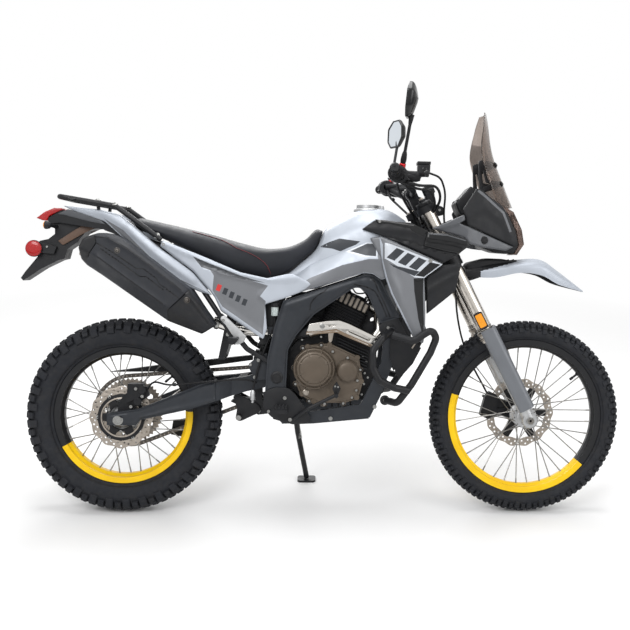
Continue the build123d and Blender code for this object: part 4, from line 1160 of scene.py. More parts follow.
def round_edges(node, width, angle=34):
    """Rounded edges on a frame node."""
    item = frame["nodes"][node]
    rounding = item.modifiers.new("rounding", "BEVEL")
    rounding.width = width * 0.001
    rounding.segments = 3
    rounding.limit_method = "ANGLE"
    rounding.angle_limit = radians(angle)
    rounding.harden_normals = True
    item.data.polygons.foreach_set("use_smooth", [True] * len(item.data.polygons))


for node, width in (("main_frame", 4), ("swingarm", 5), ("engine_block", 5), ("guards", 1.2), ("radiator", 1.5),
                    ("subframe", 1), ("rear_caliper", 2.5), ("front_caliper", 2.5), ("triple_clamps", 2.2),
                    ("instrument", 4), ("rear_fender", 3), ("foot_controls", 1.4), ("side_stand", 1.4)):
    round_edges(node, width)


def turned(shape, centre, profile, side, material=0, steps=48):
    """Round piece across the machine; profile in (radius, distance outwards)."""
    spin(shape, profile, centre, material, steps, side)


def engine_details():
    """Bolts, rims and webs on the engine's side covers."""
    shape = Shape("engine_cover_details", "chassis", bronze, zinc, engine_black, satin_black, steel)
    lower = [(606, 470), (606, 560), (640, 604), (720, 612), (822, 566), (838, 480), (822, 420), (775, 405),
        (665, 405), (622, 432)]
    skin = soften([(722 + (x - 722) * 0.965, 508 + (z - 508) * 0.955) for x, z in lower], 14)
    panel(shape, skin, lambda x, z: 121, RIGHT, 6, 9, 4, 8, (), 0,
          together(crease([(700, 470), (730, 425), (790, 420)], 3, 14), crease([(742, 560), (752, 470)], 3, 9)))
    turned(shape, (668, -117, 526), [(72, 0), (73, 6), (72, 25), (69.5, 30), (66, 31), (64, 29.5), (63.4, 33),
        (58, 40), (52, 41.8), (50.5, 40.4), (49, 42), (44, 43.6),
                                     (20, 44.6), (0.1, 44.6)], RIGHT, 0, 88)
    for k in range(8):
        angle = radians(45 * k + 22)
        spot = [(668 + radius * cos(angle), y, 526 + radius * sin(angle)) for radius,
            y in ((44, -160.4), (52, -158.4), (66, -147.6), (71, -142))]
        tube(shape, spot, [2.0, 2.6, 3.0, 2.6], 0, 8)
    turned(shape, (783, -117, 517), [(39, 0), (40, 4), (39, 14), (36, 17), (31, 18), (30, 22), (26, 24),
        (14, 24.6), (0.1, 24.6)], RIGHT, 0, 60)
    for x, z in ((628, 595), (691, 606), (731, 584), (783, 563), (756, 541), (598, 526), (604, 470),
        (828, 522), (818, 484),
                 (815, 450), (800, 425), (770, 404), (706, 402), (652, 411)):
        turned(shape, (x, -116, z), [(9.5, 0), (9.5, 5), (8, 6)], RIGHT, 0, 16)
        bolt(shape, (x, -122, z), 4.6, 4, RIGHT, 1)
    beside = ((845, 505), (856, 490), (843, 467), (860, 452), (836, 430), (870, 520), (850, 545), (838, 566))
    bolts(shape, [(x, z, 4.2) for x, z in beside], -80, 5, RIGHT, 1)
    plate(shape, [soften([(745, 486), (760, 463), (746, 425), (731, 462)], 4)], -160, -172, 2.5, 3)
    bolts(shape, ((741, 470, 3.6), (751, 468, 3.6)), -172, 3, RIGHT, 1)
    tube(shape, [(744, -121, 462), (744, -160, 462)], 7, 3, 14)
    turned(shape, (720, 111, 520), [(78, 0), (79, 6), (77, 12), (70, 15), (64, 16), (62, 19), (40, 21),
        (38, 18), (14, 18), (12, 20), (0.1, 20)], LEFT, 0, 80)
    for k in range(9):
        angle = radians(40 * k + 12)
        spot = (720 + 84 * cos(angle), 84, 520 + 84 * sin(angle))
        turned(shape, spot, [(8, 0), (8, 22), (6.6, 24)], LEFT, 0, 14)
        bolt(shape, (spot[0], 107, spot[2]), 5, 5, LEFT, 1)
    # cooling ribs of the crankcase's top, and the stay under the shield
    for k in range(7):
        x, z = 744 + 3 * k, 634 - 12 * k
        plate(shape, [[(x, z), (x + 112 - 4 * k, z - 49 + 1.7 * k), (x + 112 - 4 * k, z - 54 + 1.7 * k),
            (x, z - 5)]], -88, -104, 1.2, 2)
    for x, z in ((624, 622), (654, 634), (690, 632), (876, 560), (884, 520)):
        turned(shape, (x, -86, z), [(8, 0), (8, 5), (6.6, 6)], RIGHT, 2, 14)
        bolt(shape, (x, -91, z), 4.2, 4, RIGHT, 1)
    plate(shape, [soften([(714, 652), (734, 652), (728, 622), (722, 616), (716, 622)], 3)], -142, -146, 1.2, 4)
    # oil sight glass, drain plug and crankcase ribs
    turned(shape, (640, -119, 440), [(11, 0), (11, 4), (9, 5), (8, 3.5), (0.1, 3.5)], RIGHT, 4, 24)
    for k in range(7):
        x = 664 + 22 * k
        plate(shape, [[(x, 402), (x + 4, 402), (x + 4, 380), (x, 384)]], -70, 70, 0.8, 2, 1)
    tube(shape, [(700, 0, 402), (700, 0, 374)], [11, 10], 4, 6)
    return shape.build(crease=32)


engine_details()

HEAD_TILT = radians(24)


def head_point(along, left, up):
    """Point in the cylinder's own directions."""
    return Vector((745 + along * cos(HEAD_TILT) + up * sin(HEAD_TILT), left,
                   642 - along * sin(HEAD_TILT) + up * cos(HEAD_TILT)))


def head_box(shape, low, high, cut, material=0):
    """Block in the cylinder's directions with its edges cut off."""
    (a1, b1, c1), (a2, b2, c2) = low, high
    verts = []
    for c, inset in ((c1, cut), (c1 + cut, 0), (c2 - cut, 0), (c2, cut)):
        for a, b in ((a1 + inset, b1 + cut + inset), (a1 + cut + inset, b1 + inset),
            (a2 - cut - inset, b1 + inset), (a2 - inset, b1 + cut + inset),
                     (a2 - inset, b2 - cut - inset), (a2 - cut - inset, b2 - inset),
                     (a1 + cut + inset, b2 - inset), (a1 + inset, b2 - cut - inset)):
            verts.append(head_point(a, b, c))
    shape.add(verts, closed_tube(4, 8), material)


def cylinder_head():
    """Ribbed head and camshaft cover on the finned cylinder, with bolts, lead and intake hose."""
    shape = Shape("cylinder_head_cover", "chassis", head_bronze, engine_black, zinc, hose_rubber, black_plastic)
    # the core under the ribs is engine black: painted shade in the gaps between the bronze ribs
    head_box(shape, (-65, -61, 104), (65, 61, 120), 3, 1)
    head_box(shape, (-60, -57, 118), (60, 57, 144), 8, 1)
    head_box(shape, (-54, -50, 142), (54, 50, 153), 6, 1)
    for k in range(7):
        u = 18 * k - 54
        head_box(shape, (u - 6.4, -66, 106), (u + 6.4, 66, 150 - abs(u) * 0.22), 2.2)
    for u in (-48, 48):
        for v in (-42, 42):
            spin(shape, [(6, -8), (6, 3), (5, 4), (2.6, 4), (2.4, 1), (0.1, 1)], head_point(u, v, 156), 2, 12,
                 (sin(HEAD_TILT), 0, cos(HEAD_TILT)))
    for k in range(10):
        w = 12 + 10 * k
        head_box(shape, (-72, -70, w), (72, 70, w + 2.4), 1.0, 1)
    # ignition lead and breather hose over the head
    tube(shape, curve_points([(776, -20, 818), (792, -60, 789), (804, -64, 773), (827, -62, 767),
        (846, -40, 758)], 8), 3, 3, 10)
    tube(shape, curve_points([(800, -40, 800), (812, -58, 786), (834, -60, 785), (856, -60, 792),
        (880, -40, 800)], 8), 2.6, 3, 10)
    # hanger plates ahead of the cylinder and throttle body behind it
    for side in SIDES:
        hanger = [(826, 650), (846, 737), (868, 745), (894, 728), (898, 684), (892, 645), (862, 626)]
        plate(shape, [soften(hanger, 8), round_outline((872, 690), 9, 20)[::-1]], side * 36, side * 41, 1.5, 1)
        bolt(shape, (872, side * 41, 722), 6, 4, side, 2)
    body = [(618, 652), (640, 688), (668, 716), (712, 742), (724, 700), (704, 668), (660, 640)]
    plate(shape, [soften(body, 10)], -34, 34, 8, 1)
    clamp = head_point(-64, 0, 128)
    tube(shape, [clamp + Vector((4, 0, 0)), clamp + Vector((-16, 0, -2))], 30, 4, 28)
    return shape.build(crease=34)


cylinder_head()


def frame_details():
    """Raised ribs, caps, brackets and bolts on the frame."""
    shape = Shape("frame_details", "chassis", frame_paint, satin_black, zinc, cast, black_plastic, hose_rubber,
        milky)
    for side in SIDES:
        turned(shape, (540, side * 136, 494), [(21, 0), (21, 5), (18, 8), (15, 8.6), (14, 7.4), (0.1, 7.4)],
            side, 1, 40)
        hanger = [(888, 668), (896, 684), (923, 697), (958, 704), (990, 640), (950, 652), (898, 636)]
        plate(shape, [soften(hanger, 6)], side * 117, side * 130, 3, 1)
        inner = [(904, 664), (908, 678), (928, 686), (940, 682), (938, 662), (908, 652)]
        plate(shape, [soften(inner, 4)], side * 129, side * 133, 1.4, 4)
        bolt(shape, (921, side * 133, 670), 5.6, 4, side, 2)
        bolts(shape, ((727, 350, 7.5), (590, 344, 7.5), (880, 392, 7.5)), side * 116, 4.5, side, 2)
        bracket = [(446, 512), (440, 534), (474, 566), (505, 575), (507, 482), (470, 480)]
        plate(shape, [soften(bracket, 7)], side * 99.5, side * 104.5, 1.4, 0)
        bolts(shape, ((476, 550, 8), (447, 534, 6), (463, 490, 6.5)), side * 104.5, 6, side, 2)
        heel = [(497, 440), (512, 452), (540, 461), (581, 458), (606, 436), (640, 388), (660, 352), (655, 342),
            (600, 334), (555, 343), (521, 359), (494, 392)]
        plate(shape, [soften(heel, 10)], side * 138.2, side * 143, 1.8, 1)
        bolts(shape, ((569, 424, 7), (588, 350, 7), (545, 376, 7), (514, 378, 5.5)), side * 143, 5, side, 2)
        arm = [(350, 702), (362, 706), (404, 668), (436, 636), (428, 616), (410, 606), (396, 608), (392, 634),
            (366, 672), (346, 692)]
        plate(shape, [soften(arm, 5)], side * 147.2, side * 154, 2.4, 3)
        bolt(shape, (358, side * 154, 690), 5, 4, side, 2)
        bolt(shape, (372, side * 138, 640), 6.5, 6, side, 2)
        peg = [(394, side * 150, 622), (394, side * 213, 622)]
        tube(shape, peg, [9.5, 9], 4, 18)
        for k in range(6):
            turned(shape, (394, side * (158 + 9 * k), 622), [(11.5, 0), (11.5, 3), (9.4, 4)], side, 4, 18)
        # toothed rider footrest
        for k in range(7):
            y = 150 + 11 * k
            plate(shape, [[(536, 395), (580, 395), (577, 404), (571, 398), (565, 404), (559, 398), (553, 404),
                (547, 398), (541, 404)]],
                  side * y, side * (y + 2.4), 0.4, 1, 1)
        for x in (540, 576):
            tube(shape, [(x, side * 142, 389), (x, side * 226, 389)], 5, 1, 12)
    # fluid reservoir of the rear brake with its hose, ahead of the right side panel
    spin(shape, [(0.1, 0), (12, 0), (13, 3), (13, 30), (11, 33), (0.1, 33)], (530, -118, 705), 6, 24, (0, 0, 1))
    spin(shape, [(14, 30), (14.4, 32), (14.4, 41), (12.5, 43), (0.1, 43)], (530, -118, 705), 4, 24, (0, 0, 1))
    tube(shape, curve_points([(530, -118, 706), (528, -118, 670), (500, -116, 600), (474, -114, 520),
        (458, -112, 450)], 8), 3.4, 5, 10)
    inner_panel = [(470, 600), (508, 600), (516, 640), (540, 700), (560, 766), (512, 770), (494, 744),
        (488, 640)]
    for side in SIDES:
        plate(shape, [soften(inner_panel, 8)], side * 60, side * 98, 5, 1)
    # rear brake cylinder
    tube(shape, [(457, -112, z) for z in (402, 410, 412, 436, 446)], [5, 5, 9, 9, 5], 3, 16)
    bolts(shape, ((401, 397, 11), (470, 362, 10)), -24, 7, RIGHT, 2)
    bolts(shape, ((404, 341, 10),), -60, 7, RIGHT, 2)
    link = [(380, 410), (392, 424), (470, 384), (482, 368), (474, 354), (416, 326), (402, 322), (390, 332),
        (396, 368)]
    for side in SIDES:
        plate(shape, [soften(link, 8)], side * 26, side * 33, 1.8, 1)
    tube(shape, [(404, -60, 341), (404, 60, 341)], 7, 1, 14)
    # casting behind the spar, rear of the crankcase
    rear_case = [(556, 440), (600, 440), (604, 590), (640, 640), (640, 660), (598, 650), (570, 600), (558, 520)]
    plate(shape, [soften(rear_case, 8)], -58, 58, 6, 1)
    # cradle skid strips
    for side in SIDES:
        tube(shape, [Vector((x, side * 112, z)) for x, z in ((612, 331), (668, 333.5), (860, 352))], 2.6, 0, 8)
    return shape.build(crease=34)


frame_details()


SPAR = [
    (559, 758), (805, 841), (847, 855), (890, 840), (962, 706), (893, 684), (849, 784), (824, 806), (801, 806),
    (665, 712), (603, 637), (577, 589), (571, 440), (500, 440), (507, 562), (529, 668),
]
SPAR_GROOVES = (
    [(800, 818), (834, 812), (856, 805), (874, 794), (885, 776), (899, 746), (916, 708)],
    [(858, 842), (874, 825), (885, 796), (901, 766), (928, 706)],
    [(716, 812), (699, 791), (679, 780), (662, 764), (653, 749), (651, 728)],
)
SWING_ARM = [
    (-37, 324), (60, 324), (76, 343), (253, 383), (330, 404), (330, 474), (280, 462), (69, 376), (-37, 360),
]


def spar_faces():
    """Rounded faces of the frame's spars, with their pressed lines."""
    shape = Shape("spar_faces", "chassis", frame_paint, satin_black)
    # the pressed lines are sunk and coloured satin black: painted shade in the grooves
    grooves = [ribbon(line, 5) for line in SPAR_GROOVES]
    for side in SIDES:
        panel(shape, SPAR, lambda x, z: 137.5, side, 3, 24, 15, 6, [(groove, 1) for groove in grooves], 16,
              together(*(recess(groove, 2.6, 2) for groove in grooves),
                  crease([(866, 836), (893, 790), (938, 712)], 3, 12),
                       crease([(560, 742), (640, 770), (700, 806), (800, 832)], 3.5, 26)))
    shape.build(crease=40)


spar_faces()


def swingarm_faces():
    """Rounded faces of the swingarm, creased along their length."""
    shape = Shape("swingarm_faces", "chassis", frame_paint)
    wall = along_line([(-38, 122), (220, 122), (340, 98)])
    for side in SIDES:
        panel(shape, SWING_ARM, lambda x, z: wall(x) + 4, side, 3, 12, 9, 7, (), 8,
              together(crease([(-20, 352), (66, 366), (278, 452), (330, 466)], 4, 10),
                  crease([(70, 350), (250, 392), (330, 412)], 3, 10)))
    return shape.build(crease=36)


swingarm_faces()


def heat_shield():
    """Polished shield over the header pipe: slotted, with rolled edges and its bolts."""
    shape = Shape("header_heat_shield", "chassis", chrome, zinc, satin_black, painted_reflection_steel)
    fold = [(641, 655), (683, 656), (714, 661), (742, 665), (770, 652), (836, 624), (877, 608)]
    top_edge = [(650, 681), (678, 686), (715, 692), (752, 694), (784, 683), (846, 654), (888, 634)]
    foot = [(638, 644), (676, 646), (716, 650), (744, 652), (768, 641), (830, 616), (873, 599)]
    outline = fold + top_edge[::-1]
    slots = [slot_outline(start, end, r, 6)[::-1]
             for start, end, r in (((787, 658), (854, 628.5), 4), ((718, 674.6), (736, 677.6), 3.2))]
    plate(shape, [soften(outline, 5), *slots], -155.3, -158, 1.2, 0)
    # the folded lower edge, in brown steel that paints a reflection on it, and the edge bent back along the top
    for near, far, outer, inner, look in ((fold, foot, -158, -151.6, 3),
            (top_edge, [(x + 1, z + 3) for x, z in top_edge], -158, -146, 0)):
        rows = []
        for (ax, az), (bx, bz) in zip(near, far):
            rows.extend([(ax, outer, az), (bx, inner, bz), (bx, inner + 3, bz), (ax, outer + 3, az)])
        shape.add(rows, closed_tube(7, 4), look)
    # clamped sleeve over the pipe behind the shield
    tube(shape, [(655, -120.5, 651), (640, -113, 648), (612, -92, 642), (592, -84, 641)],
        [19.5, 20.5, 20.5, 19.5], 2, 28)
    turned(shape, (694, -157.5, 674), [(9.5, 0), (9.5, 1.2), (8, 2), (6.6, 2), (6, 5), (3, 5.4), (2.6, 3),
        (0.1, 3)], RIGHT, 1, 20)
    turned(shape, (872, -157.5, 624), [(7, 0), (7, 3), (5.6, 5), (2.6, 5), (0.1, 4)], RIGHT, 1, 16)
    for centre, way in (((868, -128, 628), (0.25, 0.2, -0.9)), ((600, -84, 640), (1, 0.1, 0.05)),
            ((330, -100, 676), (0.8, 0.2, -0.2))):
        spin(shape, [(19.5, -7), (21.5, -5), (21.5, 5), (19.5, 7)], centre, 1, 30, way)
    return shape.build(crease=36)


heat_shield()

MUFFLER = [
    (-98, 958), (-51, 976), (-22, 977), (21, 962), (246, 797), (335, 673), (291, 644), (173, 684), (-97, 869),
    (-112, 889), (-112, 930),
]
# columns: x, z of the ridge where the upper facet starts, and of the lower one
RIDGE_HIGH = [(-98, 972), (-15, 961), (50, 925), (126, 869), (233, 785), (335, 690)]
RIDGE_LOW = [(-112, 925), (-50, 898), (53, 824), (172, 740), (291, 664), (335, 640)]


def muffler():
    """Faceted matt silencer: three long facets, step lines, a front cover and an end cap."""
    shape = Shape("muffler_shell", "chassis", muffler_black, satin_black, chain_steel, steel)
    high, low = along_line(RIDGE_HIGH), along_line(RIDGE_LOW)
    cover = [(256, 798), (219, 760), (181, 724), (170, 680), (291, 636), (345, 673)]
    cap = [(-57, 990), (-54, 942), (-83, 897), (-104, 868), (-130, 890), (-118, 940), (-100, 970)]
    step_line = [(-52, 942), (3, 911), (78, 860), (100, 860), (144, 828), (152, 812), (219, 763)]

    def facets(x, z):
        return 213 - max(0, z - high(x)) - max(0, low(x) - z) * 0.95

    grooves = [ribbon(line, 4.6) for line in (
        [(-60, 962), (-15, 961), (50, 925), (126, 869), (226, 790)], step_line,
        [(-50, 898), (53, 824), (165, 745)],
        [(256, 798), (219, 760), (181, 724), (175, 689)], [(-57, 961), (-54, 942), (-83, 897), (-100, 890)],
        [(-40, 925), (10, 890), (90, 834), (110, 834), (168, 790)])]
    window = [(250, 770), (262, 757), (318, 682), (312, 672), (296, 690), (240, 752)]
    ridge = together(*(recess(groove, 2.4, 2) for groove in grooves), recess(window, 3, 5),
                     crease([(-15, 961), (50, 925), (126, 869), (233, 785)], 2.6, 12),
                     crease([(-50, 898), (53, 824), (172, 740)], 2.6, 12))
    panel(shape, MUFFLER, facets, RIGHT, 96, 8, 8, 7, ((cover, 1), (cap, 1), (window, 1),
        *((groove, 1) for groove in grooves)), 5, ridge)
    for x, z in ((15, 919), (244, 758)):
        turned(shape, (x, -211, z), [(10, 0), (10, 2.0), (8.4, 2.6), (7.2, 0.6), (5.6, 4.4), (2.8, 4.8),
            (2.4, 2.4), (0.1, 2.4)], RIGHT, 2, 20)
    # outlet and strap
    back = Vector((-0.86, 0, 0.5))
    spin(shape, [(22, -4), (25, -2), (25, 4), (20, 5), (18.5, 2), (18, -22), (0.1, -22)],
        Vector((-106, -156, 922)), 3, 36, back)
    for x, z in ((40, 948), (216, 816)):
        plate(shape, [[(x - 14, z - 8), (x + 10, z - 26), (x + 26, z + 2), (x + 2, z + 20)]], -100.5, -106,
            1.5, 1)
    return shape.build(replaces=("muffler",), crease=28)


muffler()


# Steering, fork and front end ------------------------------------------------------------

def fork_details():
    """Clamp bolts, fork caps, reflectors, axle ends and pinch bolts on the fork."""
    shape = Shape("fork_details", "steered", satin_black, zinc, orange_reflector, steel, cast, gloss_black)
    up = fork_point(0, 0, 1) - fork_point(0, 0, 0)
    for side in SIDES:
        foot = side * FORK_HALF
        spin(shape, [(27, -8), (28, -6), (28, 3), (25, 7), (14, 8), (13, 15), (11, 17), (0.1, 17)],
            fork_point(0, foot, 850), 0, 40, up)
        spin(shape, [(8.6, 15), (8.6, 22), (7.6, 23), (0.1, 23)], fork_point(0, foot, 850), 3, 6, up)
        for height in (612, 632, 826):
            bolt(shape, fork_point(30, foot - side * 16, height), 5.4, 8,
                fork_point(1, 0, 0) - fork_point(0, 0, 0), 1)
            tube(shape, [fork_point(26, foot - side * 36, height), fork_point(26, foot + side * 2, height)],
                6.4, 0, 12)
        spin(shape, [(29, -18), (32, -16), (32, -9), (30, -7), (30, 2), (32, 4), (32, 10), (29, 13),
            (27.4, 14)], fork_point(0, foot, 344), 3, 44, up)
        for height in (362, 366, 370):
            spin(shape, [(27.2, -1.2), (28.4, 0), (27.2, 1.2)], fork_point(0, foot, height), 5, 40, up)
        # reflector in its frame
        at = fork_point(-3, side * (FORK_HALF + 33), 398)
        ahead_way = fork_point(1, 0, 0) - fork_point(0, 0, 0)
        frame_points, face_points = [], []
        for grow, out, store in ((1.0, 0, frame_points), (1.0, 5, frame_points), (0.8, 5, frame_points),
                (0.8, 3.8, face_points)):
            for k in range(24):
                angle = tau * k / 24
                across_way = 16 * grow * copysign(abs(cos(angle)) ** 0.22, cos(angle))
                along_way = 31 * grow * copysign(abs(sin(angle)) ** 0.22, sin(angle))
                store.append(at + ahead_way * across_way + up * along_way + Vector((0, side * (out - 4), 0)))
        shape.add(frame_points, grid_faces(3, 24, close_columns=True) + [list(range(24))], 5)
        shape.add(face_points, [list(range(24))], 2)
        # axle clamp at the foot of the leg
        spin(shape, [(26, -18), (28, -15), (28, 15), (26, 18), (17, 18)],
            (FRONT_AXLE[0], side * 96, FRONT_AXLE[2]), 4, 44)
        tube(shape, [fork_point(2, foot, 6), fork_point(2, foot, 40), fork_point(1, foot, 74)],
            [22.4, 22.4, 21.9], 4, 24)
        for forward in (-24, 24):
            bolt(shape, fork_point(forward, side * 100, -14), 4.6, 5,
                fork_point(0, 0, 0) - fork_point(0, 0, 1), 1)
        spin(shape, [(13.4, 0), (13.4, 7), (12, 8), (6.4, 8), (6, 4), (5.2, 4)],
            (FRONT_AXLE[0], side * 122 - side * 8, FRONT_AXLE[2]), 3, 6, side)
    stem_top = fork_point(-42, 0, 842)
    spin(shape, [(17, -6), (17, 4), (15.6, 5.6), (8, 5.6), (7.6, 2), (0.1, 2)], stem_top, 3, 6, up)
    for side in SIDES:
        riser = fork_point(-16, side * 40, 906)
        tube(shape, [riser + Vector((0, side * 15, -6)), riser + Vector((0, -side * 15, -6))], 19, 0, 30)
        for forward in (-13, 13):
            bolt(shape, fork_point(-16 + forward, side * 40, 922), 4, 4, up, 1)
    # ignition switch between the clamps
    spin(shape, [(17, -22), (18, -20), (18, 6), (16, 9), (6, 9), (5.6, 6), (0.1, 6)], fork_point(22, 0, 846),
        5, 30, up)
    return shape.build(crease=34)


fork_details()


def lever(shape, side):
    """Hand lever with its perch, a flat blade and a ball end."""
    line = curve_points([(1006, side * 236, 1188), (1026, side * 262, 1186), (1030, side * 300, 1181),
        (1020, side * 342, 1178), (1012, side * 376, 1178), (1016, side * 392, 1178)], 6)
    verts = []
    for i, (p, way) in enumerate(zip(line, ways(line))):
        share = i / (len(line) - 1)
        wide, thick = 8.5 - 2.5 * share, 4.6 - 1.2 * share
        outward = way.cross(UP).normalized()
        verts += [p + outward * cos(tau * k / 12) * thick + UP * sin(tau * k / 12) * wide for k in range(12)]
    shape.add(verts, closed_tube(len(line), 12), 0)
    tip = line[-1]
    spin(shape, [(0.1, -8), (4.4, -7), (7.6, -3), (8.2, 1), (6.6, 5.6), (3, 8), (0.1, 8.4)], tip, 0, 20,
        (0.15, side, 0))
    spin(shape, [(10, -11), (11, -9), (11, 9), (10, 11), (5, 11), (4.8, 9), (0.1, 9)],
        (1004, side * 238, 1187), 0, 24, (0, 0, 1))
    tube(shape, curve_points([(930, side * 238, 1188), (960, side * 234, 1190), (1002, side * 238, 1188)], 5),
        [17, 16, 15, 14, 13, 13, 12, 11, 11, 11, 11], 0, 20)


def control_housings():
    """Switch housings with their buttons, levers on their perches and the brake reservoir."""
    shape = Shape("control_housings", "steered", black_plastic, satin_black, gloss_black, zinc, graphic_red)
    for side in SIDES:
        a, b = Vector((927, side * 279, 1188)), Vector((933, side * 226, 1186))
        along = (b - a).normalized()
        spin(shape, [(18, -1), (24, 0), (27, 3), (27, 24), (25.5, 25.5), (25.5, 27), (27, 28.5), (27, 49),
            (24, 53), (12, 54)], a, 0, 40, along)
        for angle in (0.6, 2.2, 4.1):
            out = Vector((sin(angle), 0, cos(angle)))
            bolt(shape, a + along * 14 + out * 26, 3.2, 3, out, 3)
        lever(shape, side)
        # throttle and choke drums with their cable outlets
        spin(shape, [(22, -7), (29, -5), (29, 5), (22, 7)], a + along * 8 + Vector((10, 0, -4)), 0, 34, along)
        spin(shape, [(5, -14), (5, 5), (3.4, 6), (3.4, 12)], a + along * 8 + Vector((34, 0, -16)), 1, 14,
            (0.9, 0, -0.45))
    # right hand: engine stop rocker and starter button
    plate(shape, [soften([(904, 1190), (914, 1198), (922, 1190), (912, 1180)], 3)], -252, -262, 2, 4)
    spin(shape, [(5, -3), (5, 3), (4, 4.4), (0.1, 4.6)], (908, -240, 1172), 2, 16, (-0.8, 0, -0.3))
    # left hand: lamp slider, turn switch and horn button
    plate(shape, [soften([(902, 1194), (913, 1202), (920, 1194), (910, 1186)], 3)], 246, 262, 2, 2)
    spin(shape, [(6, -3), (6, 3), (4.6, 5), (0.1, 5.2)], (905, 252, 1172), 2, 18, (-0.85, 0, -0.25))
    # lever perches: barrel of the cylinder, its clamp bolt and the cable elbow under it
    for side in SIDES:
        tube(shape, [(944, side * 238, 1178), (958, side * 237, 1179), (1000, side * 233, 1178),
            (1012, side * 232, 1177)], [13, 15, 14.5, 10], 0, 20)
        tube(shape, curve_points([(946, side * 246, 1164), (966, side * 244, 1158), (992, side * 236, 1156),
            (1012, side * 226, 1152)], 5),
             [7, 9, 9.5, 9.5, 9, 8.4, 8, 7.6, 7.2, 6.6, 6, 5.4, 5, 4.8, 4.6, 4.4], 1, 14)
        bolt(shape, (962, side * 238, 1194), 4, 3, (0, 0, 1), 3)
    # front brake reservoir and its cap
    block = [(1003, 1189), (1043, 1189), (1044, 1222), (1003, 1222)]
    plate(shape, [soften(block, 5)], -205.5, -249.5, 4, 1, 3)
    lid = [(1001, 1221), (1045, 1221), (1045, 1231), (1001, 1231)]
    plate(shape, [soften(lid, 2)], -203, -252, 3, 0, 3)
    for y in (-212, -243):
        bolt(shape, (1023, y, 1230), 3.2, 1.6, (0, 0, 1), 3)
    spin(shape, [(7, 0), (7, 1.6), (5.4, 2.2), (5, 1.2), (0.1, 1.2)], (1024, -249, 1205), 2, 22, RIGHT)
    shape.build(replaces=("hand_controls",), crease=34)


control_housings()


def ribbed_grips():
    """Grips with rings round them, an inner flange and a bar end weight."""
    shape = Shape("ribbed_grips", "steered", grip_rubber, satin_black)
    for side in SIDES:
        outer, inner = Vector((914, side * 402, 1191)), Vector((927, side * 280, 1188))
        along = (inner - outer).normalized()
        profile = [(14.6, 0), (16.4, 1.4)]
        for k in range(21):
            start = 4 + 5.2 * k
            profile += [(16.8, start), (16.8, start + 2.6), (15.2, start + 3.3), (15.2, start + 4.6)]
        profile += [(17, 112.5), (17, 114), (24, 115), (25.5, 117.5), (24, 120.5), (17, 121.5), (11.2, 121.5)]
        spin(shape, profile, outer, 0, 36, along)
        spin(shape, [(11, 2), (11, -0.6), (14, -1), (14, -10), (12, -14), (4.2, -14), (3.8, -11), (0.1, -11)],
            outer, 1, 36, along)
    shape.build(replaces=("grips",), crease=34)


ribbed_grips()


def bar_cables():
    """Control cables from the bar to the steering head, and the bands round the bar."""
    shape = Shape("bar_cables", "steered", hose_rubber)
    # columns: route of each cable from the bar to the steering head
    for route, radius in (
        ([(967, -268, 1158), (1010, -262, 1150), (1068, -214, 1150), (1090, -150, 1112), (1066, -88, 1056),
            (1040, -44, 1010)], 4.6),
        ([(962, -262, 1160), (996, -250, 1142), (1052, -200, 1134), (1074, -138, 1092), (1056, -84, 1040),
            (1034, -36, 1004)], 4.4),
        ([(967, 268, 1158), (1010, 262, 1150), (1062, 216, 1146), (1084, 150, 1108), (1062, 86, 1050),
            (1040, 40, 1006)], 4.4),
        ([(934, -226, 1172), (946, -180, 1140), (976, -110, 1102), (1010, -46, 1060), (1030, -24, 1016)], 4.2),
        ([(934, 226, 1172), (946, 180, 1140), (976, 110, 1102), (1010, 46, 1060), (1030, 24, 1016)], 4.2),
    ):
        tube(shape, curve_points(route, 9), radius, 0, 10)
    for side in SIDES:
        tube(shape, [(950, side * 150, 1136), (952, side * 146, 1134), (954, side * 142, 1131)], [5.4, 6, 5.4],
            0, 12)
    shape.build(crease=40)


bar_cables()


def lock_and_bracket():
    """Ignition lock and bracket over the upper clamp."""
    shape = Shape("lock_and_bracket", "steered", satin_black, zinc, black_plastic)
    bracket = [(1018, 1064), (1020, 1096), (1058, 1108), (1056, 1128), (1054, 1160), (1084, 1168),
        (1088, 1138), (1090, 1108), (1120, 1098), (1128, 1072), (1083, 1060)]
    plate(shape, [soften(bracket, 7)], -24, 24, 5, 0, 3)
    spin(shape, [(20, -8), (22, -4), (22, 20), (19, 24), (17, 24), (16, 21), (6, 21), (5, 23), (0.1, 23)],
        (1070, 0, 1150), 2, 30, (-0.42, 0, 0.9))
    for side in SIDES:
        bolts(shape, ((1036, 1082, 5), (1106, 1086, 5)), side * 24, 4, side, 1)
    shape.build(crease=36)


lock_and_bracket()


def mirror_head(shape, side, lift, turned, top, tilt_x):
    """Angular mirror: swelling housing in front, rim and glass behind."""
    outline = [(266, 44), (275, 90), (302, 117), (345, 117), (378, 86), (371, 32), (344, 5), (288, 5)]
    ring = [Vector((side * y, lift + z)) for y, z in outline]
    ring = soften(ring, 6, 3)
    middle = sum(ring, Vector((0, 0))) / len(ring)
    turn_by = Matrix.Rotation(radians(turned), 4, "Z")
    pin = Vector(top)
    verts = []
    # columns: share of the outline, distance ahead of the glass plane
    for share, ahead_by in ((0.87, 2.4), (0.885, 0), (0.975, 0), (1.0, 2.4), (1.0, 9), (0.97, 17), (0.88, 24),
            (0.7, 29), (0.42, 32), (0.16, 33)):
        for p in ring:
            q = middle + (p - middle) * share
            x = tilt_x + (q.y - lift) * 0.115 + ahead_by * (1 - 0.35 * abs(q.y - lift - 66) / 60)
            verts.append(pin + (turn_by @ (Vector((x, q.x, q.y)) - pin)))
    glass_face, *housing_end = closed_tube(10, len(ring))[-2:]
    shape.add(verts, grid_faces(10, len(ring), close_columns=True) + housing_end, 0)
    shape.add(verts[:len(ring)], [glass_face[::-1]], 1)


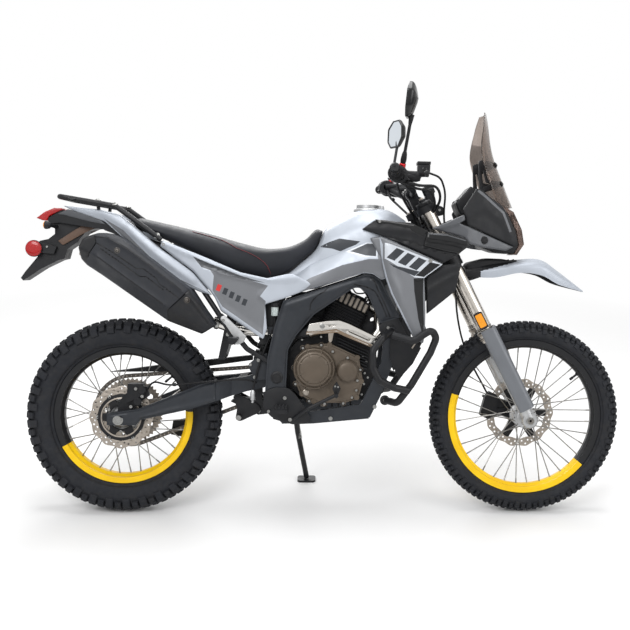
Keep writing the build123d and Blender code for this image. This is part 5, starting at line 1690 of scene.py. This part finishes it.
def mirrors():
    """Both mirrors with their stems, rubber boots and the red ring at the right foot."""
    shape = Shape("mirror_pair", "steered", gloss_black, mirror_glass, satin_black, red_anodised, hose_rubber)
    for side, foot, top, lift, turned_by, tilt_x in (
        (RIGHT, (950, -240, 1208), (972, -300, 1366), 1357, -11, 955),
        (LEFT, (950, 240, 1208), (978, 306, 1366), 1343, 28, 966),
    ):
        mirror_head(shape, side, lift, turned_by, top, tilt_x)
        a, b = Vector(foot), Vector(top)
        end = b + (b - a).normalized() * 6
        tube(shape, [a + (b - a) * k / 12 for k in range(12)] + [end], [5.4] * 12 + [6.6], 2, 16)
        tube(shape, [a + (b - a) * s for s in (0.1, 0.14, 0.2, 0.28, 0.33)], [8.5, 10, 10, 8.4, 6.2], 4, 20)
        tube(shape, [a + (b - a) * s for s in (-0.02, 0.0, 0.085, 0.1)], [9, 11, 11, 9], 3, 8)
        tube(shape, [b + (b - a).normalized() * s for s in (-22, -4, 8)], [6, 8, 9.5], 2, 18)
    return shape.build(replaces=("mirrors",), crease=30)


mirrors()


def windscreen():
    """Arched screen with two pressed folds."""
    shape = Shape("screen_sheet", "chassis", smoke)
    levels = [(1100, 1372, 1306, 90), (1178, 1338, 1272, 116), (1285, 1296, 1238, 122), (1386, 1276, 1250, 94),
        (1432, 1268, 1258, 50)]
    heights = curve_points([(row[0], row[1], row[2]) for row in levels], 8)
    halves = curve_points([(row[0], row[3], 0) for row in levels], 8)
    across = 33
    rows = []
    for h, w in zip(heights, halves):
        row = []
        for k in range(across):
            share = 2 * k / (across - 1) - 1
            bow = 1 - abs(share) ** 2.2
            fold = 1.6 * exp(-((abs(share) - 0.52) / 0.06) ** 2)
            row.append((h.z + (h.y - h.z) * bow - 1 + fold, w.y * share, h.x))
        rows.append(row)
    front = [p for row in rows for p in row]
    back = [(x - 2.6, y, z) for x, y, z in front]
    count = len(rows)
    faces = grid_faces(count, across)
    lower = [[i + count * across for i in face[::-1]] for face in faces]
    edge = (list(range(across)) + [(r + 1) * across - 1 for r in range(1, count)]
            + [(count - 1) * across + k for k in range(across - 2, -1, -1)]
                + [r * across for r in range(count - 2, 0, -1)])
    rim = [[edge[i], edge[j], edge[j] + count * across, edge[i] + count * across] for i, j in loop(len(edge))]
    shape.add(front + back, faces + lower + rim, 0)
    shape.build(replaces=("windscreen",), crease=50)


windscreen()


def screen_bracket():
    """Windowed bracket plates of the screen and its rubber-washed bolts."""
    shape = Shape("screen_bracket", "chassis", satin_black, zinc, hose_rubber)
    for side in SIDES:
        arm = [(1242, 1146), (1270, 1156), (1314, 1170), (1315, 1188), (1272, 1194), (1262, 1222),
            (1291, 1236), (1291, 1254), (1250, 1264), (1236, 1258), (1238, 1200)]
        window = [(1256, 1170), (1284, 1178), (1264, 1184), (1252, 1226), (1247, 1224)]
        plate(shape, [soften(arm, 6), soften(window, 3)[::-1]], side * 58, side * 66, 1.6, 0)
        for x, z in ((1296, 1246), (1319, 1180)):
            spin(shape, [(9, -3), (10, -1.5), (10, 1.5), (8, 4), (6, 5), (2.6, 5), (2.4, 3), (0.1, 3)],
                (x, side * 62, z), 2, 20, (1, 0, 0.28))
            spin(shape, [(5, 2), (5, 6.4), (4, 7.2), (0.1, 7.2)], (x, side * 62, z), 1, 14, (1, 0, 0.28))
    return shape.build(crease=34)


screen_bracket()

# columns: x, half width, z low, z side, z top
FENDER = [
    (1200, 52, 850, 862, 884), (1300, 66, 848, 870, 905), (1391, 72, 866, 884, 914), (1473, 64, 858, 880, 916),
    (1540, 48, 826, 846, 876), (1639, 8, 800, 802, 806),
]


def front_fender():
    """High fender: a creased beak, thinning to its tip, with a black rear half and four bolts."""
    shape = Shape("front_fender_shell", "steered", silver, black_plastic, zinc)
    rows = crowned_rows(FENDER, 100)
    verts, inner, around = [], [], 40
    for x, half, low, mid, top in rows:
        for store, trim in ((verts, 0), (inner, 4)):
            h, t = max(half - trim, 1.5), top - trim
            section = [(h * 0.99, low + 0.5), (h, low + (mid - low) * 0.5)]
            for k in range(around + 1):
                angle = pi * k / around
                lift = abs(sin(angle)) ** 0.95
                ridge = 2.0 * exp(-((abs(cos(angle)) - 0.42) / 0.10) ** 2)
                section.append((h * cos(angle), mid - trim * 0.4 + (t - mid + trim * 0.4) * lift + ridge
                    * min(1, (x - 1200) / 80) * min(1, (1639 - x) / 120)))
            section += [(-h, low + (mid - low) * 0.5), (-h * 0.99, low + 0.5)]
            store.extend((x, y, z) for y, z in section)
    columns = around + 5
    total = len(rows) * columns
    faces = grid_faces(len(rows), columns)
    marks = []
    for face in faces:
        x = sum(verts[i][0] for i in face) / 4
        z = sum(verts[i][2] for i in face) / 4
        top_part = z > 866 + (x - 1236) * 0.27
        marks.append(1 if x < 1254 or x < 1388 and top_part else 0)
    shape.add(verts + inner, faces + [[i + total for i in face[::-1]] for face in faces],
        marks + [1] * len(faces))
    last = len(rows) - 1
    rims = [[r * columns, (r + 1) * columns, (r + 1) * columns + total, r * columns + total]
        for r in range(last)]
    rims += [[(r + 1) * columns - 1 + total, (r + 2) * columns - 1 + total, (r + 2) * columns - 1,
        (r + 1) * columns - 1] for r in range(last)]
    for r in (0, last):
        rims += [[r * columns + k, r * columns + k + 1, r * columns + k + 1 + total, r * columns + k + total]
            for k in range(columns - 1)]
    shape.add(verts + inner, rims, 0)
    cover = [(1200, 886), (1210, 900), (1274, 917), (1330, 916), (1386, 908), (1330, 886), (1274, 868),
        (1256, 848), (1216, 834), (1202, 850)]
    plate(shape, [soften(cover, 8)], -44, 44, 12, 1, 4)
    for x, y in ((1244, 22), (1244, -22), (1300, 22), (1300, -22)):
        bolt(shape, (x, y, 902 + (x - 1244) * 0.09), 5.5, 3.4, (-0.1, 0, 1), 2)
    return shape.build(replaces=("front_fender",), crease=38)


front_fender()


def front_caliper():
    """Two piston caliper with its bridge bolts, pad pins, banjo bolt and bleed nipple."""
    shape = Shape("front_caliper_details", "steered", engine_black, zinc)
    for x, z in ((1312, 352), (1322, 390)):
        turned(shape, (x, 83, z), [(15, 0), (15, 4), (13, 6), (6, 6.6), (0.1, 6.6)], LEFT, 0, 30)
    bolts(shape, ((1292, 340, 5), (1298, 404, 5), (1338, 402, 5), (1338, 336, 5)), 84, 4, LEFT, 1)
    bolts(shape, ((1382, 354, 6.5), (1400, 350, 6.5)), 84, 5, LEFT, 1)
    tube(shape, [(1326, 82, 398), (1322, 82, 412)], [7, 6], 1, 12)
    return shape.build(crease=34)


front_caliper()


def lamp_units():
    """Reflector bowls and bulbs behind the lens."""
    shape = Shape("lamp_units", "chassis", polished, lens_clear)
    toward = Vector((1, 0, 0.25)).normalized()
    # columns: place, radius
    for spot, radius in (((1372, -26, 1006), 19), ((1372, 26, 1006), 19), ((1364, 0, 1058), 17)):
        spin(shape, [(radius, 6), (radius, 8.6), (radius * 0.9, 8.6), (radius * 0.8, 4), (radius * 0.5, 0),
            (0.1, -2)], spot, 0, 36, toward)
        spin(shape, [(0.1, 9), (radius * 0.42, 7.6), (radius * 0.62, 4), (radius * 0.66, 0)], spot, 1, 36,
            toward)
    shape.build(crease=40)


lamp_units()


def display_unit():
    """Hooded display with its dark screen and two buttons."""
    shape = Shape("display_unit", "chassis", black_plastic, gloss_black, satin_black)
    hood = [(1158, 1110), (1210, 1170), (1216, 1168), (1238, 1157), (1241, 1122), (1196, 1074), (1180, 1066),
        (1168, 1084)]
    plate(shape, [soften(hood, 6)], -63, 63, 7, 0, 4)
    lower, upper = Vector((1160, 0, 1109)), Vector((1211, 0, 1167))
    out = Vector((-0.75, 0, 0.66))
    for grow, lift, material in ((0.86, 1.0, 1), (0.70, 1.6, 2)):
        ring = []
        for u, v in soften([(-1, -1), (1, -1), (1, 1), (-1, 1)], 0.25, 5):
            spot = lower.lerp(upper, 0.5 + 0.5 * grow * v) + Vector((0, 56 * grow * u, 0)) + out * lift
            ring.append(spot)
        faces = [list(range(len(ring)))] + grid_faces(2, len(ring), close_columns=True)
        shape.add(ring + [p - out * 3 for p in ring], faces, material)
    for side in SIDES:
        spin(shape, [(6, 0), (6, 3), (5, 4), (0.1, 4)], lower.lerp(upper, 0.16) + Vector((0, side * 50, 0))
            + out * 1.0, 2, 18, out)
    return shape.build(replaces=("instrument",), crease=34)


display_unit()


def crash_bar_fittings():
    """Mounting discs and bolts of the crash bars, the radiator's fins and tubes, and the horn."""
    shape = Shape("crash_bar_fittings", "chassis", satin_black, zinc, steel, black_plastic)
    for side in SIDES:
        for x, z in ((936, 657), (914, 418)):
            turned(shape, (x, side * 133, z), [(16, -4), (17, -2), (17, 4), (14, 6), (6, 6)], side, 0, 26)
            bolt(shape, (x, side * 139, z), 7, 5, side, 1)
        plate(shape, [[(1004, 600), (1018, 622), (1022, 619), (1008, 597)]], side * 126.2, side * 127.4, 0.3,
            2, 1)
    for k in range(34):
        z = 572 + 8 * k
        plate(shape, [[(1000.4, z), (1004, z + 0.6), (1004, z + 1.8), (1000.4, z + 1.2)]], -112, 112, 0.3, 2, 1)
    for k in range(9):
        y = -112 + 28 * k
        tube(shape, [(1001, y, 566), (1001, y, 846)], 2.2, 0, 6)
    spin(shape, [(22, -6), (46, -4), (48, 0), (46, 5), (30, 8), (12, 9), (0.1, 9)], (1026, 0, 690), 3, 40,
        (1, 0, 0.1))
    return shape.build(crease=34)


crash_bar_fittings()


# Tail and rear end -----------------------------------------------------------------------

def tail_lamp():
    """Lamp unit with its ribs, and the round reflectors in their cups."""
    shape = Shape("tail_lamp_unit", "chassis", red_lens, satin_black)
    lens = [(-302, 1029), (-292, 1036), (-276, 1049), (-239, 1064), (-214, 1065), (-212, 1058), (-234, 1049),
        (-258, 1036), (-266, 1020), (-281, 1021)]
    plate(shape, [soften(lens, 3)], -43.5, 43.5, 3.5, 0, 4)
    for k in range(7):
        y = -36 + 12 * k
        tube(shape, [(-296, y, 1032), (-272, y, 1050.5), (-240, y, 1064.5)], 1.6, 0, 6)
    for side in SIDES:
        spot = (-306, side * 50, 923)
        turned(shape, spot, [(29, 0), (29, 4), (27.6, 5), (26.6, 3.6)], side, 1, 44)
        turned(shape, spot, [(27, 2), (27, 9), (24, 11), (12, 11.8), (0.1, 12)], side, 0, 44)
        for k in range(5):
            turned(shape, spot, [(5 * k + 3, 11.3), (5 * k + 4, 12.0 - 0.2 * k), (5 * k + 5, 11.2)], side, 0,
                40)
    shape.build(replaces=("tail_lights",), crease=34)


tail_lamp()


def tail_trim():
    """Grey flanks, brown underside, turn signals and the plate holder's lamp and ribs."""
    shape = Shape("tail_trim", "chassis", mid_grey, brown_plastic, satin_black, orange_reflector, zinc,
        black_plastic)
    grey = [(-228, 1044), (-191, 1061), (-84, 1034), (-54, 1008), (-115, 1019), (-191, 1037)]
    flank = along_line([(-262, 43), (-75, 75), (60, 101)])
    brown = [(-228, 951), (-187, 979), (-133, 1014), (-107, 1016), (-88, 1004), (-139, 979), (-176, 957),
        (-211, 936)]
    for side in SIDES:
        panel(shape, grey, flank, side, 3, 5, 3, 8, (), 4)
        plate(shape, [soften(brown, 4)], side * 36.3, side * 42, 1.5, 1)
        # turn signal: short stalk and a pale pod
        tube(shape, [(-234, side * 34, 1000), (-240, side * 60, 1002), (-243, side * 84, 1003)], [7, 6.4, 6.4],
            5, 14)
        spin(shape, [(0.1, -12), (7, -11), (12, -6), (14, 2), (14, 8), (13.4, 9), (12, 9)],
            (-247, side * 92, 1003), 5, 28, (-1, 0, 0.05))
        spin(shape, [(12.6, 8), (12.2, 11), (8, 13.6), (0.1, 14.6)], (-247, side * 92, 1003), 3, 28,
            (-1, 0, 0.05))
        bolts(shape, ((-300, 934, 4), (-262, 930, 4)), side * 50, 3, side, 4)
    # plate holder: lamp, ribs and mounting holes rim
    for y in (-24, 0, 24):
        tube(shape, [(-294, y, 893), (-338, y, 832)], 2.4, 5, 8)
    spin(shape, [(0.1, 0), (12, 0), (13, 3), (13, 12), (10, 15), (0.1, 15)], (-300, 0, 912), 2, 24,
        (-1, 0, 0.2))
    return shape.build(crease=34)


tail_trim()


def rack_fittings():
    """Bolts and strap hooks of the rack, and the bar across it."""
    shape = Shape("rack_fittings", "chassis", satin_black, zinc)
    for side in SIDES:
        for spot, way in (((-20, side * 103, 1078), (0, side * 0.4, 1)), ((-80, side * 88, 1090), (0, 0, 1)),
                ((126, side * 118, 972), (0, side, 0.4))):
            spin(shape, [(10, -3), (11, -1), (11, 2), (9, 3.6), (4, 4)], spot, 1, 24, way)
            bolt(shape, spot, 5.5, 6, way, 1)
        tube(shape, curve_points([(-150, side * 100, 1094), (-158, side * 112, 1090), (-170, side * 112, 1092),
            (-178, side * 98, 1098)], 6), 3.4, 0, 10)
    plate(shape, [soften([(-118, 1090), (-92, 1086), (-66, 1082), (-66, 1086), (-92, 1091), (-118, 1095)], 1)],
        -60, 60, 1, 0)
    shape.build(crease=34)


rack_fittings()


def axle_fittings():
    """Axle nuts, chain adjusters, caliper bolts and the rear brake line."""
    shape = Shape("axle_fittings", "chassis", zinc, satin_black, hose_rubber, engine_black)
    for side in SIDES:
        spot = (0, side * 122, REAR_AXLE[2])
        turned(shape, spot, [(17, 0), (18, 2), (18, 4), (16, 5), (8, 5)], side, 0, 30)
        turned(shape, spot, [(13, 4), (13, 12), (11.6, 13.6), (6.4, 13.6), (6, 10), (0.1, 10)], side, 0, 6)
        tube(shape, [(-38, side * 110, 341), (-26, side * 110, 342), (-16, side * 110, 343)], 5, 0, 6)
        spin(shape, [(8, 0), (8, 5), (7, 6), (4, 6)], (-24, side * 110, 342), 0, 6, (1, 0, 0))
    bolts(shape, ((40, 384, 6), (78, 420, 6), (56, 446, 6), (90, 366, 6)), -104, 5)
    for x, z in ((62, 400), (76, 440)):
        turned(shape, (x, -104, z), [(14, 0), (14, 2), (12, 3.4), (0.1, 3.4)], RIGHT, 3, 28)
    line = [(92, -96, 440), (120, -112, 470), (180, -118, 462), (300, -116, 474), (420, -112, 482),
        (470, -98, 470)]
    tube(shape, curve_points(line, 8), 3.4, 2, 10)
    for x, z in ((190, 463), (330, 477)):
        spin(shape, [(5, -5), (6, -4), (6, 4), (5, 5)], (x, -117, z), 1, 14, (1, 0, 0.1))
    shape.build(crease=34)


axle_fittings()


def stand_spring():
    """Coil spring of the side stand."""
    shape = Shape("stand_spring", "stand", zinc)
    top, low = Vector((604, 140, 300)), Vector((616, 156, 226))
    along = (low - top).normalized()
    first = along.cross(ACROSS).normalized()
    second = along.cross(first)
    turns, steps = 13, 14
    coil = [top.lerp(low, k / (turns * steps)) + (first * cos(tau * k / steps) + second * sin(tau * k / steps))
        * 6.5
            for k in range(turns * steps + 1)]
    tube(shape, coil, 1.5, 0, 6)
    return shape.build(crease=50)


stand_spring()


# Floor, light and camera -----------------------------------------------------------------

WHITE = (1, 1, 1, 1)
FLOOR_REACH = 40
FADE_STARTS, FADE_ENDS = 1.6, 4.2


def stage(name, data):
    """Put something of the studio in the scene."""
    item = bpy.data.objects.new(name, data)
    bpy.context.scene.collection.objects.link(item)
    return item


floor_mesh = bpy.data.meshes.new("floor")
corners = [(x * FLOOR_REACH, y * FLOOR_REACH, 0) for x, y in ((-1, -1), (1, -1), (1, 1), (-1, 1))]
floor_mesh.from_pydata(corners, [], [(0, 1, 2, 3)])
floor = stage("floor", floor_mesh)
paper = Finish("floor_paper")
paper.join(paper.mix(paper.spread(paper.noise(3), 0, 1), (0.90, 0.90, 0.90, 1), (0.92, 0.92, 0.92, 1)),
    "Base Color")
# far from the machine the floor fades into the white of the backdrop
distance = paper.node("VectorMath", {0: paper.objects()}, "Value", operation="LENGTH")
seen_directly = paper.node("LightPath", (), "Is Camera Ray")
fade = paper.maths("MULTIPLY", paper.spread(distance, 0, 1, FADE_STARTS, FADE_ENDS), seen_directly)
glow = paper.node("Emission", {"Color": WHITE, "Strength": 1.0}, 0)
blend = paper.node("MixShader", {0: fade, 1: paper.shader.outputs[0], 2: glow}, 0)
paper.tree.links.new(blend, paper.tree.nodes["Material Output"].inputs["Surface"])
floor_mesh.materials.append(paper.done(Roughness=0.9))

# the backdrop is white where it is seen, reflected or looked at through glass, and lights more softly
world = bpy.data.worlds.new("studio")
bpy.context.scene.world = world
world.use_nodes = True
sky = Nodes(world.node_tree)
ambient = sky.tree.nodes["Background"]
ambient.inputs["Color"].default_value = WHITE
ambient.inputs["Strength"].default_value = 0.4
backdrop = sky.node("Background", {"Color": WHITE, "Strength": 1.0}, 0)
rays = sky.node("LightPath").outputs
seen = sky.maths("MAXIMUM", rays["Is Camera Ray"], rays["Is Glossy Ray"])
seen = sky.maths("MAXIMUM", seen, rays["Is Transmission Ray"])
mixed = sky.node("MixShader", {0: seen, 1: ambient.outputs[0], 2: backdrop}, 0)
sky.tree.links.new(mixed, sky.tree.nodes["World Output"].inputs["Surface"])

# columns: name, place, aim, size, energy
for name, spot, aim, size, energy in (
    ("key", (-1.6, -3.4, 3.6), (0, 0, 0.6), 2.6, 105),
    ("front_fill", (3.2, -2.2, 2.2), (0.2, 0, 0.6), 2.4, 40),
    ("top", (0, 0.4, 4.2), (0, 0, 0.5), 3.2, 110),
    ("back", (-0.6, 3.6, 2.6), (0, 0, 0.6), 2.6, 60),
):
    lamp = bpy.data.lights.new(name, "AREA")
    lamp.shape = "DISK"
    lamp.size = size
    lamp.energy = energy
    lantern = stage(name, lamp)
    lantern.location = spot
    lantern.visible_camera = lantern.visible_transmission = False
    lantern.rotation_euler = (Vector(aim) - Vector(spot)).to_track_quat("-Z", "Y").to_euler()

# The camera stands to the right of the machine; its place and angles are the upright machine's
YAW, PITCH, ROLL = radians(3.289), radians(-2.183), radians(0.983)
ahead = Vector((sin(YAW) * cos(PITCH), cos(YAW) * cos(PITCH), sin(PITCH)))
across = Vector((cos(YAW), -sin(YAW), 0))
upward = across.cross(ahead)
right = across * cos(ROLL) + upward * sin(ROLL)
above = upward * cos(ROLL) - across * sin(ROLL)
turn = Matrix((right, above, -ahead)).transposed().to_4x4()
view = bpy.data.cameras.new("camera")
view.sensor_width = 36
view.lens = 49.92
view.shift_x, view.shift_y = -0.0952, -0.0238
camera = stage("camera", view)
camera.matrix_world = Matrix.Translation(place(701.1, -3141.1, 879.9)) @ Matrix.Rotation(-LEAN, 4, "X") @ turn
bpy.context.scene.camera = camera
bpy.context.scene.view_settings.view_transform = "Standard"
